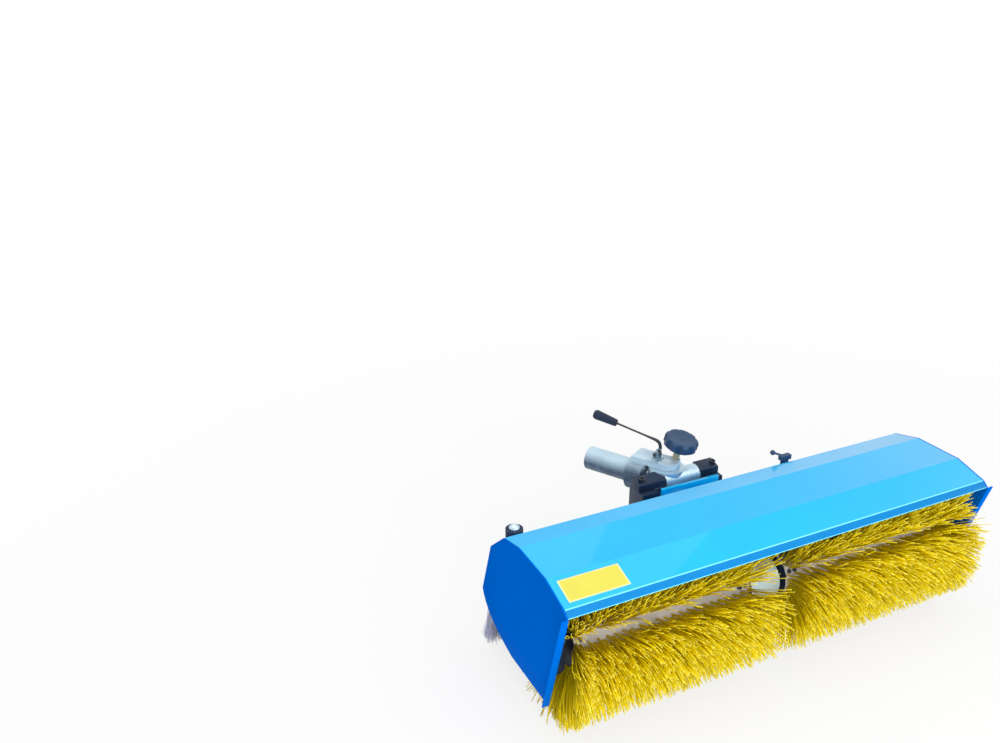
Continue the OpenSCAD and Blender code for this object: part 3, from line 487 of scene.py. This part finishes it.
def bare_metal(name, colour, smooth, rough, height, stretch=(1, 1, 1), metallic=0.8, low_dust_and_shade=None):
    """Plated or cast metal: grain squeezed by the stretch of each axis, dull patches and, where given, a
    painted shade that darkens its lower part.
    """
    return finish(name, colour, [c * 0.85 for c in colour], low_dust_and_shade=low_dust_and_shade,
                  constants={"Metallic": metallic, "Specular IOR Level": LOW_SPECULAR},
                  cloud_size=14.0, smooth=smooth, rough=rough, grain_size=240.0, grain_height=height,
                  stretch=stretch)


def moulded(name, colour, smooth, rough, height, low_dust_and_shade=None):
    """Moulded plastic, rubber or black coating: fine pebbled grain, soft gloss and, where given, ground dust
    low down.
    """
    return finish(name, colour, [c * 1.4 + 0.003 for c in colour], low_dust_and_shade=low_dust_and_shade,
                  constants={"IOR": 1.45, "Specular IOR Level": LOW_SPECULAR},
                  cloud_size=18.0, smooth=smooth, rough=rough, grain_size=420.0, grain_height=height)


def seen_rays(tree):
    """1 for what is seen directly, in a reflection or through glass, and 0 for light on a surface."""
    path = linked(tree, "ShaderNodeLightPath")
    seen = path.outputs["Is Camera Ray"]
    for ray in ("Is Glossy Ray", "Is Transmission Ray"):
        either = linked(tree, "ShaderNodeMath", {0: seen, 1: path.outputs[ray]}, operation="MAXIMUM")
        seen = either.outputs["Value"]
    return seen


def strand_material(name, colour, root_shade_factor, tip_colour):
    """Runs from a root darkened by painted shade through the body colour to a pale tip that is a painted
    highlight, with a tone for each strand.
    """
    material = bpy.data.materials.new(name)
    material.use_nodes = True
    tree = material.node_tree
    shader = tree.nodes["Principled BSDF"]
    reach = linked(tree, "ShaderNodeAttribute", attribute_name="reach")
    tone = linked(tree, "ShaderNodeAttribute", attribute_name="tone")
    ramp = linked(tree, "ShaderNodeValToRGB", {"Fac": reach.outputs["Fac"]})
    stops = ramp.color_ramp.elements
    # The darker stops near the root are painted shade, the pale tip stop a painted highlight
    stops[0].position, stops[0].color = 0.0, rgba(colour, root_shade_factor)
    stops[1].position, stops[1].color = 1.0, rgba(tip_colour)
    for position, factor in ((0.4, 0.5 + 0.45 * root_shade_factor), (0.75, 0.95), (0.95, 1.0)):
        stops.new(position).color = rgba(colour, factor)
    light = linked(tree, "ShaderNodeMapRange", {
        "Value": tone.outputs["Fac"], "To Min": 0.7, "To Max": 1.15})
    toned = linked(tree, "ShaderNodeVectorMath", {
        0: ramp.outputs["Color"], "Scale": light.outputs["Result"]}, operation="SCALE")
    tree.links.new(toned.outputs["Vector"], shader.inputs["Base Color"])
    gloss = linked(tree, "ShaderNodeMapRange", {
        "Value": tone.outputs["Fac"], "To Min": 0.38, "To Max": 0.55})
    tree.links.new(gloss.outputs["Result"], shader.inputs["Roughness"])
    shader.inputs["Specular IOR Level"].default_value = 0.1
    return material


# Mesh helpers


def piece(name, points, faces, material, body, attributes=None, smooth=True):
    """A mesh object from whole arrays of points and faces, riding on its body."""
    mesh = bpy.data.meshes.new(name)
    mesh.from_pydata(points.reshape(-1, 3), [], faces)
    for key, values in (attributes or {}).items():
        layer = mesh.attributes.new(key, "FLOAT", "POINT")
        layer.data.foreach_set("value", np.ascontiguousarray(values, np.float32).ravel())
    mesh.polygons.foreach_set("use_smooth", np.full(len(mesh.polygons), smooth))
    mesh.materials.append(material)
    mesh.update()
    made = bpy.data.objects.new(name, mesh)
    bpy.context.scene.collection.objects.link(made)
    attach(made, body)
    return made


def strands(lines, widths, rolls):
    """Three-sided rods along many lines at once.

    lines is (strand, step, 3). At each step a triangle stands across the line: its corners lie at the
    strand's roll angle plus 0, 120 and 240 degrees, in the plane of two directions that are square to the
    line's own direction, at half the width. Steps are joined by two triangles a side and the tip is closed.
    """
    count, steps = lines.shape[:2]
    along = np.gradient(lines, axis=1)
    along /= np.linalg.norm(along, axis=2, keepdims=True)
    guide = np.where(np.abs(along[..., :1]) < 0.8, [1.0, 0.0, 0.0], [0.0, 1.0, 0.0])
    side = np.cross(along, guide)
    side /= np.linalg.norm(side, axis=2, keepdims=True)
    rise = np.cross(along, side)
    turn = rolls[:, None, None] + np.arange(3)[None, None, :] * (2 * math.pi / 3)
    ring = (side[:, :, None, :] * np.cos(turn)[..., None] + rise[:, :, None, :] * np.sin(turn)[..., None])
    points = lines[:, :, None, :] + ring * (0.5 * widths[:, :, None, None])
    corner = np.arange(3)
    nearby = (corner + 1) % 3
    level = np.arange(steps - 1)[:, None] * 3
    first = np.stack([level + corner, level + nearby, level + 3 + nearby], axis=2).reshape(-1, 3)
    second = np.stack([level + corner, level + 3 + nearby, level + 3 + corner], axis=2).reshape(-1, 3)
    tip = np.array([[0, 1, 2]]) + 3 * (steps - 1)
    pattern = np.concatenate([first, second, tip])
    faces = (np.arange(count)[:, None, None] * (3 * steps) + pattern[None]).reshape(-1, 3)
    return points, faces


def rounded_path(corners, reaches, steps):
    """Points along a polyline whose inner corners are rounded.

    At a corner P with the unit directions d before and e after it, the round starts at P - reach d and ends
    at P + reach e. Between them the point is (1 - t) squared times the start, plus 2 t (1 - t) times P,
    plus t squared times the end. The last straight run gets extra points, because the radius changes there.
    """
    t = np.linspace(0, 1, steps)[:, None]
    parts = [corners[0][None]]
    for before, corner, after, reach in zip(corners, corners[1:], corners[2:], reaches):
        start = corner + (before - corner) * (reach / np.linalg.norm(before - corner))
        end = corner + (after - corner) * (reach / np.linalg.norm(after - corner))
        parts.append((1 - t) ** 2 * start + 2 * t * (1 - t) * corner + t ** 2 * end)
    last = parts[-1][-1]
    parts.append(last + (corners[-1] - last) * np.linspace(0, 1, ARM_POINTS)[1:, None])
    return np.concatenate(parts)


def swept(path, radii, sides):
    """A round bar with closed ends: at each point of the path a ring of its radius, square to the path."""
    along = np.gradient(path, axis=0)
    along /= np.linalg.norm(along, axis=1, keepdims=True)
    side = np.cross(along, [0.3, 0.2, 0.9])
    side /= np.linalg.norm(side, axis=1, keepdims=True)
    rise = np.cross(along, side)
    turn = np.linspace(0, 2 * math.pi, sides, endpoint=False)[None, :, None]
    ring = side[:, None] * np.cos(turn) + rise[:, None] * np.sin(turn)
    points = (path[:, None] + ring * radii[:, None, None]).reshape(-1, 3)
    corner = np.arange(sides)
    level = np.arange(len(path) - 1)[:, None] * sides
    nearby = (corner + 1) % sides
    above = level + sides
    quads = np.stack([level + corner, level + nearby, above + nearby, above + corner], axis=2)
    ends = [corner[::-1].tolist(), (corner + sides * (len(path) - 1)).tolist()]
    return points, quads.reshape(-1, 4).tolist() + ends


def softened(node, width, name):
    """A copy of a solid with its flat faces merged and its hard edges rounded to the given width."""
    source = frame["nodes"][node]
    mesh = source.data.copy()
    mesh.name = name
    mesh.materials.clear()
    work = bmesh.new()
    work.from_mesh(mesh)
    bmesh.ops.remove_doubles(work, verts=work.verts, dist=MERGE_DISTANCE)
    bmesh.ops.dissolve_limit(work, angle_limit=FLAT_ANGLE, verts=work.verts, edges=work.edges)
    for face in work.faces:
        face.smooth = True
    work.to_mesh(mesh)
    work.free()
    made = bpy.data.objects.new(name, mesh)
    bpy.context.scene.collection.objects.link(made)
    edge = made.modifiers.new("rounded edges", "BEVEL")
    edge.width = width
    edge.segments = 2
    edge.limit_method = "ANGLE"
    edge.angle_limit = SHARP_ANGLE
    edge.harden_normals = True
    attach(made, source["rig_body"])
    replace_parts(made, node)
    return made


def wear(node, material, end_material=None):
    """Gives a solid its finish, with another one on the faces that look along X if asked."""
    mesh = frame["nodes"][node].data
    mesh.materials.clear()
    mesh.materials.append(material)
    if end_material:
        mesh.materials.append(end_material)
        normals = np.empty(3 * len(mesh.polygons), np.float32)
        mesh.polygons.foreach_get("normal", normals)
        mesh.polygons.foreach_set("material_index", (np.abs(normals[::3]) > ALONG_X).astype(np.int32))


# Operators


class SWEEPER_OT_painted_sheet(bpy.types.Operator):
    """Rounds the folds and edges of the sheet metal and paints it"""

    bl_idname = "sweeper.painted_sheet"
    bl_label = "Painted sheet"

    def execute(self, context):
        colours = context.scene.sweeper.colours
        # One enamel in two blues: lighter on the hood as painted light, darker on the side plates as painted
        # shade
        hood = enamel("hood enamel", colours.hood_lit_blue, gloss=0.5, lip=LIP_SHADE_BLUE)
        plates = enamel("plate enamel", colours.plate_shade_blue, gloss=0.0)
        for node, width in PAINTED_SHEETS.items():
            made = softened(node, width, node + "_sheet")
            made.data.materials.append(plates if "side_plate" in node else hood)
        return {"FINISHED"}


class SWEEPER_OT_bare_plate(bpy.types.Operator):
    """Colours the bare plate on the front facet"""

    bl_idname = "sweeper.bare_plate"
    bl_label = "Bare plate"

    def execute(self, context):
        colour = context.scene.sweeper.colours.plate_yellow
        yellow = finish(
            "plate yellow", colour, [c * 0.93 for c in colour], constants={"Coat Weight": 0.3},
            cloud_size=20.0, smooth=0.28, rough=0.4, grain_size=500.0, grain_height=0.02)
        self.paint_border(yellow.node_tree, *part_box("name_plate"))
        wear("name_plate", yellow)
        return {"FINISHED"}

    def paint_border(self, tree, low, high):
        """A pale line round the plate, where X or Y is within the line's width of the plate's box."""
        base = tree.nodes["Principled BSDF"].inputs["Base Color"]
        place = linked(tree, "ShaderNodeTexCoord").outputs["Object"]
        parts = linked(tree, "ShaderNodeSeparateXYZ", {"Vector": place})
        masks = []
        for axis, (label, line) in enumerate(BORDER_WIDTHS.items()):
            half = (high[axis] - low[axis]) / 2
            offset = linked(tree, "ShaderNodeMath", {
                0: parts.outputs[label], 1: low[axis] + half}, operation="SUBTRACT")
            apart = linked(tree, "ShaderNodeMath", {0: offset.outputs["Value"]}, operation="ABSOLUTE")
            masks.append(linked(tree, "ShaderNodeMapRange", {
                "Value": apart.outputs["Value"],
                "From Min": half - line - BORDER_SOFT, "From Max": half - line}))
        border = linked(tree, "ShaderNodeMath", {
            0: masks[0].outputs["Result"], 1: masks[1].outputs["Result"]}, operation="MAXIMUM")
        lined = linked(tree, "ShaderNodeMix", {
            0: border.outputs["Value"], 6: base.links[0].from_socket, 7: rgba(BORDER_COLOUR)},
            data_type="RGBA")
        tree.links.new(lined.outputs[2], base)


class SWEEPER_OT_black_pieces(bpy.types.Operator):
    """Finishes the clamp blocks, hubs, knob, grip, handle and buffer in black"""

    bl_idname = "sweeper.black_pieces"
    bl_label = "Black pieces"

    def execute(self, context):
        black = context.scene.sweeper.colours.black
        coating = moulded("black coating", black, smooth=0.3, rough=0.5, height=0.12)
        plastic = moulded("black plastic", PLASTIC_BLACK, smooth=0.32, rough=0.48, height=0.06)
        rubber = moulded("black rubber", black, smooth=0.55, rough=0.75, height=0.2)
        for node, width in BLACK_BLOCKS.items():
            softened(node, width, node + "_block").data.materials.append(coating)
        for nodes, material in ((BLACK_METAL, coating), (BLACK_PLASTIC, plastic), (BLACK_RUBBER, rubber)):
            for node in nodes:
                wear(node, material)
        return {"FINISHED"}


class SWEEPER_OT_metalwork(bpy.types.Operator):
    """Finishes the cast housings, the tubes, the core and every remaining steel piece"""

    bl_idname = "sweeper.metalwork"
    bl_label = "Metalwork"

    def execute(self, context):
        colours = context.scene.sweeper.colours
        grey = colours.metal_grey
        # The yoke, the coupling tube and the cross tube are darker towards the bottom: a painted shade under
        # them
        yoke = bare_metal("cast yoke", grey, smooth=0.4, rough=0.56, height=0.16,
                          metallic=0.0, low_dust_and_shade=YOKE_SHADE)
        cast = bare_metal("cast alloy", grey, smooth=0.4, rough=0.56, height=0.16, metallic=0.5)
        tube = bare_metal("drawn tube", grey, smooth=0.28, rough=0.42, height=0.05,
                          stretch=(1, 1, 6), metallic=0.0, low_dust_and_shade=TUBE_SHADE)
        bar = bare_metal("cross tube", grey, smooth=0.22, rough=0.36, height=0.05,
                         stretch=(6, 1, 1), metallic=0.6, low_dust_and_shade=BAR_SHADE)
        plated = bare_metal("plated steel", [c * 0.9 for c in grey], smooth=0.25, rough=0.4, height=0.06)
        brassy = bare_metal("yellow plating", YELLOW_PLATING, smooth=0.3, rough=0.44, height=0.06,
                            metallic=0.5)
        dark = bare_metal("dark steel", DARK_STEEL, smooth=0.3, rough=0.45, height=0.06, metallic=0.6)
        black = moulded("black coating", colours.black, smooth=0.3, rough=0.5, height=0.12)
        core = moulded("core plastic", colours.core_grey, smooth=0.42, rough=0.58, height=0.05,
                       low_dust_and_shade=CORE_DUST)
        special = {"swivel_head": yoke, "coupling_tube": tube, "pivot_drum": bar, "knob_stud": brassy,
                   "core_screws": dark, "clamp_screws": dark, "lever_arm": dark}
        special.update((node, cast) for node in CAST_PIECES)
        special.update((node, core) for node in CORE_PIECES)
        done = set(PAINTED_SHEETS) | set(BLACK_BLOCKS) | set(BLACK_METAL) | set(BLACK_PLASTIC)
        done |= set(BLACK_RUBBER) | {"name_plate", "left_bristles", "right_bristles", "skirt_bristles"}
        for node in sorted(set(frame["nodes"]) - done):
            wear(node, special.get(node, plated), black if node in CORE_PIECES else None)
        self.bend_lever(dark)
        return {"FINISHED"}

    def bend_lever(self, material):
        """The lever's rod in one sweep, along journal, upright and the thinner arm, with its cam."""
        def on_ear(across, along, up):
            return np.array(SWIVEL + across * TUBE_SIDE + along * TUBE_RUN + Vector((0, 0, up)))

        rise = math.radians(LEVER_SLOPE)
        arm = np.array(TUBE_RUN * math.cos(rise) + Vector((0, 0, math.sin(rise))))
        corners = [on_ear(*corner) for corner in LEVER_CORNERS]
        path = rounded_path(corners + [corners[-1] + arm * LEVER_LENGTH], LEVER_ROUNDS, ROUND_POINTS)
        run = np.concatenate([[0], np.cumsum(np.linalg.norm(np.diff(path, axis=0), axis=1))])
        from_tip = run[-1] - run
        rod = swept(path, np.interp(from_tip, ROD_PLACES, ROD_RADII), ROD_SIDES)
        cam = swept(np.array([on_ear(*end) for end in CAM_ENDS]), np.full(2, CAM_RADIUS), CAM_SIDES)
        points = np.concatenate([rod[0], cam[0]])
        faces = rod[1] + [[corner + len(rod[0]) for corner in face] for face in cam[1]]
        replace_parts(piece("lever_rod", points, faces, material, "lever"), "lever_arm")


def brush_half(settings, side, seam, seed):
    """Strand lines of one core half, as arrays.

    Tufts stand on a staggered grid along the core and round it between two seams, with one more close ring
    of tufts at the outer end. A strand leaves its tuft's root on the root radius and ends at the tip radius
    less a random cut. With t from 0 at the root to 1 at the tip, its radius grows in proportion to t, its
    angle drifts by its lean times t to the power 1.5, and its place along the brush drifts by its spread
    times t to the power 1.4, or 0.8 at the outer end. The spread holds the flare of the two ends, which
    grows with the fourth power of the nearness to the end. A few strands at the outer end stray further
    out. A limit on each side keeps the strands off the plate and off the tube between the halves.
    """
    rng = np.random.default_rng(seed)
    outer, inner = CORE_SPANS[side]
    rows, columns, each = settings.tuft_rows, settings.tuft_columns, settings.tuft_strands
    column, row = np.meshgrid(np.arange(columns), np.arange(rows))
    column, row = column.ravel(), row.ravel()
    share = (column + 0.5) / columns
    start, sweep = seam + BARE_ANGLE[side], 180.0 - 2 * BARE_ANGLE[side]
    angle = start + sweep * (row + 0.25 + 0.5 * (column % 2)) / rows
    share = np.concatenate([share, np.full(END_TUFTS, END_SHARE)])
    angle = np.concatenate([angle, start + sweep * np.linspace(0, 1, END_TUFTS)])
    tuft_lean = rng.normal(0, TUFT_LEAN, share.size)
    tuft_slide = rng.normal(0, TUFT_SLIDE, share.size)
    share = np.repeat(share, each)
    count = share.size
    place = inner + (outer - inner) * share + rng.normal(0, ROOT_SHIFT, count)
    angle = np.repeat(angle, each) + rng.normal(0, ROOT_TURN, count)
    lean = np.repeat(tuft_lean, each) + rng.normal(0, STRAND_LEAN, count)
    outward = np.sign(outer - inner)
    stray = STRAY_FLARE * (rng.uniform(0, 1, count) < STRAY_SHARE)
    flare = outward * ((FLARE[side] + stray) * share ** 4 - INNER_FLARE * (1 - share) ** 4)
    spread = flare + np.repeat(tuft_slide, each) + rng.normal(0, STRAND_SLIDE, count)
    cut = np.abs(rng.normal(0, TIP_CUT, count))
    tip = settings.tip_radius - cut - TIP_LOSS * rng.uniform(0, 1, count) ** 4
    t = np.linspace(0, 1, STRAND_STEPS)[None, :]
    radius = settings.root_radius + (tip[:, None] - settings.root_radius) * t
    theta = np.radians(angle[:, None] + lean[:, None] * t ** 1.5)
    bow = 1.4 - 0.6 * share[:, None] ** 4
    x = np.clip(place[:, None] + spread[:, None] * t ** bow, *REACH[side])
    lines = np.stack([x, radius * np.cos(theta), AXIS_HEIGHT + radius * np.sin(theta)], axis=2)
    lines[..., 2] = np.maximum(lines[..., 2], LINE_FLOOR)
    width = settings.strand_width * rng.uniform(*WIDTH_RANGE, count)
    widths = width[:, None] * (1 - 0.2 * t)
    return lines, widths, rng.uniform(0, 2 * math.pi, count), rng.uniform(0, 1, count)


class SWEEPER_OT_brush(bpy.types.Operator):
    """Plants the golden strands on both halves of the brush"""

    bl_idname = "sweeper.brush"
    bl_label = "Brush strands"

    def execute(self, context):
        sweeper = context.scene.sweeper
        gold = strand_material("brush strand", sweeper.colours.strand_gold, root_shade_factor=0.95,
                               tip_colour=STRAND_TIP_HIGHLIGHT)
        for number, (side, seam) in enumerate((s, a) for s in CORE_SPANS for a in SEAM_ANGLES):
            lines, widths, rolls, tones = brush_half(sweeper.brush, side, seam, BRUSH_SEED + number)
            points, faces = strands(lines, widths, rolls)
            points[..., 2] = np.maximum(points[..., 2], CORNER_FLOOR)
            reach = np.broadcast_to(np.linspace(0, 1, lines.shape[1])[None, :, None], points.shape[:3])
            tone = np.broadcast_to(tones[:, None, None], points.shape[:3])
            where = "rear" if seam > 180 else "front"
            made = piece(f"{side}_{where}_strands", points, faces, gold, "brush",
                         {"reach": reach, "tone": tone})
            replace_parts(made, f"{side}_bristles")
        return {"FINISHED"}


class SWEEPER_OT_skirt(bpy.types.Operator):
    """Hangs the pale strands of the rear skirt"""

    bl_idname = "sweeper.skirt"
    bl_label = "Skirt strands"

    def execute(self, context):
        """A strand drops in proportion to t, from 0 to 1, and drifts by its spread times t to a power."""
        sweeper = context.scene.sweeper
        low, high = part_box("skirt_bristles")
        rng = np.random.default_rng(SKIRT_SEED)
        count = sweeper.brush.skirt_strands
        t = np.linspace(0, 1, 3)[None, :]
        x0 = rng.uniform(low.x + SKIRT_MARGIN, high.x - SKIRT_MARGIN, count)[:, None]
        y0 = SKIRT_DEPTH + rng.uniform(-SKIRT_HALF, SKIRT_HALF, count)[:, None]
        spread_x = rng.normal(0, SKIRT_SPREAD, count)[:, None] + SKIRT_FLARE * (x0 / high.x) ** 9
        front, back = low.y - SKIRT_LEAN_FROM[0], high.y - SKIRT_LEAN_FROM[1]
        spread_y = rng.normal(*SKIRT_LEAN, count).clip(front, back)[:, None]
        end = np.abs(rng.normal(0, SKIRT_CUT, count))[:, None]
        drift = t ** SKIRT_POWER
        x = x0 + np.clip(spread_x * drift, low.x - SKIRT_OVERHANG - x0, high.x + SKIRT_OVERHANG - x0)
        lines = np.stack([x, y0 + spread_y * drift, high.z - (high.z - end) * t], axis=2)
        widths = np.broadcast_to(SKIRT_WIDTH * (1 - 0.25 * t), lines.shape[:2])
        points, faces = strands(lines, widths, rng.uniform(0, 2 * math.pi, count))
        points[..., 2] = np.maximum(points[..., 2], CORNER_FLOOR)
        tones = rng.uniform(0, 1, count)[:, None, None]
        pale = strand_material("skirt strand", sweeper.colours.skirt_grey, root_shade_factor=0.8,
                               tip_colour=SKIRT_TIP_HIGHLIGHT)
        made = piece("skirt_strands", points, faces, pale, "hood",
                     {"reach": np.broadcast_to(t[:, :, None], points.shape[:3]),
                      "tone": np.broadcast_to(tones, points.shape[:3])})
        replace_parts(made, "skirt_bristles")
        return {"FINISHED"}


class SWEEPER_OT_stage(bpy.types.Operator):
    """Lays a pale floor, sets soft studio light and places the camera"""

    bl_idname = "sweeper.stage"
    bl_label = "Stage"

    def execute(self, context):
        stage = context.scene.sweeper.stage
        context.scene.view_settings.view_transform = "Standard"
        self.lay_floor()
        self.light_world(context.scene, stage.ambient)
        for lamp in LAMPS:
            self.hang_lamp(*lamp)
        self.place_camera(context.scene, stage)
        return {"FINISHED"}

    def lay_floor(self):
        """A flat square below the strand tips, whose own white hides its edge and leaves the shadow."""
        edge = np.array([-FLOOR_HALF, FLOOR_HALF])
        x, y = np.meshgrid(edge, edge)
        points = np.stack([x.ravel(), y.ravel(), np.full(4, FLOOR_HEIGHT)], axis=1)
        mesh = bpy.data.meshes.new("floor")
        mesh.from_pydata(points, [], [(0, 1, 3, 2)])
        paper = finish(
            "pale floor", *FLOOR_TONES, constants={"Specular IOR Level": 0.0},
            cloud_size=1.5, smooth=0.9, rough=1.0, grain_size=60.0, grain_height=0.0)
        tree = paper.node_tree
        place = linked(tree, "ShaderNodeTexCoord").outputs["Object"]
        away = linked(tree, "ShaderNodeVectorMath", {0: place}, operation="LENGTH")
        white = linked(tree, "ShaderNodeMapRange", {
            "Value": away.outputs["Value"], "From Min": WHITE_NEAR[0], "From Max": WHITE_FAR[0],
            "To Min": WHITE_NEAR[1], "To Max": WHITE_FAR[1]})
        share = linked(tree, "ShaderNodeMath", {
            0: seen_rays(tree), 1: white.outputs["Result"]}, operation="MULTIPLY")
        glow = linked(tree, "ShaderNodeEmission", {"Color": (1, 1, 1, 1), "Strength": 1.0})
        both = linked(tree, "ShaderNodeMixShader", {
            0: share.outputs["Value"], 1: tree.nodes["Principled BSDF"].outputs["BSDF"],
            2: glow.outputs["Emission"]})
        tree.links.new(both.outputs["Shader"], tree.nodes["Material Output"].inputs["Surface"])
        mesh.materials.append(paper)
        floor = bpy.data.objects.new("floor", mesh)
        bpy.context.scene.collection.objects.link(floor)

    def light_world(self, scene, ambient):
        """An even world that is white where it is seen, and lights with the ambient strength."""
        world = bpy.data.worlds.new("studio")
        scene.world = world
        world.use_nodes = True
        tree = world.node_tree
        strength = linked(tree, "ShaderNodeMapRange", {
            "Value": seen_rays(tree), "To Min": ambient, "To Max": 1.0})
        background = tree.nodes["Background"]
        background.inputs["Color"].default_value = (1, 1, 1, 1)
        tree.links.new(strength.outputs["Result"], background.inputs["Strength"])

    def hang_lamp(self, name, place, size, power):
        """A square lamp that faces the middle of the object."""
        lamp = bpy.data.lights.new(name, "AREA")
        lamp.size = size
        lamp.energy = power
        hung = bpy.data.objects.new(name, lamp)
        bpy.context.scene.collection.objects.link(hung)
        aim = LAMP_AIM - Vector(place)
        hung.location = place
        hung.rotation_euler = aim.to_track_quat("-Z", "Y").to_euler()

    def place_camera(self, scene, stage):
        """Stands on the line from the target along azimuth and elevation, and rolls about that line."""
        a, e, r = stage.azimuth, stage.elevation, stage.roll
        back = Vector((math.sin(a) * math.cos(e), -math.cos(a) * math.cos(e), math.sin(e)))
        level = Vector((math.cos(a), math.sin(a), 0.0))
        upright = back.cross(level)
        right = level * math.cos(r) + upright * math.sin(r)
        up = upright * math.cos(r) - level * math.sin(r)
        camera = bpy.data.cameras.new("camera")
        camera.lens = stage.lens
        camera.sensor_width = SENSOR_WIDTH
        camera.sensor_fit = "HORIZONTAL"
        holder = bpy.data.objects.new("camera", camera)
        scene.collection.objects.link(holder)
        turn = Matrix((right, up, back)).transposed().to_4x4()
        eye = CAMERA_TARGET + back * stage.distance
        holder.matrix_world = Matrix.Translation(eye) @ turn
        scene.camera = holder


class SWEEPER_PT_panel(bpy.types.Panel):
    """Lists the sweeper's settings and steps"""

    bl_idname = "SWEEPER_PT_panel"
    bl_label = "Sweeper"
    bl_space_type = "VIEW_3D"
    bl_region_type = "UI"
    bl_category = "Sweeper"

    def draw(self, context):
        sweeper = context.scene.sweeper
        for group in (sweeper.colours, sweeper.brush, sweeper.stage):
            box = self.layout.box()
            for key in group.__annotations__:
                box.prop(group, key)
        for operator in OPERATORS:
            self.layout.operator(operator.bl_idname)


OPERATORS = (
    SWEEPER_OT_painted_sheet,
    SWEEPER_OT_bare_plate,
    SWEEPER_OT_black_pieces,
    SWEEPER_OT_metalwork,
    SWEEPER_OT_brush,
    SWEEPER_OT_skirt,
    SWEEPER_OT_stage,
)
CLASSES = (SweeperColours, SweeperBrush, SweeperStage, SweeperSettings) + OPERATORS + (SWEEPER_PT_panel,)


def register():
    """Adds the classes and the settings of the scene."""
    for each in CLASSES:
        bpy.utils.register_class(each)
    bpy.types.Scene.sweeper = PointerProperty(type=SweeperSettings)


def unregister():
    """Takes the settings and the classes away again."""
    del bpy.types.Scene.sweeper
    for each in reversed(CLASSES):
        bpy.utils.unregister_class(each)


def main():
    """Runs every step."""
    register()
    bpy.ops.sweeper.painted_sheet()
    bpy.ops.sweeper.bare_plate()
    bpy.ops.sweeper.black_pieces()
    bpy.ops.sweeper.metalwork()
    bpy.ops.sweeper.brush()
    bpy.ops.sweeper.skirt()
    bpy.ops.sweeper.stage()


if __name__ == "__main__":
    main()
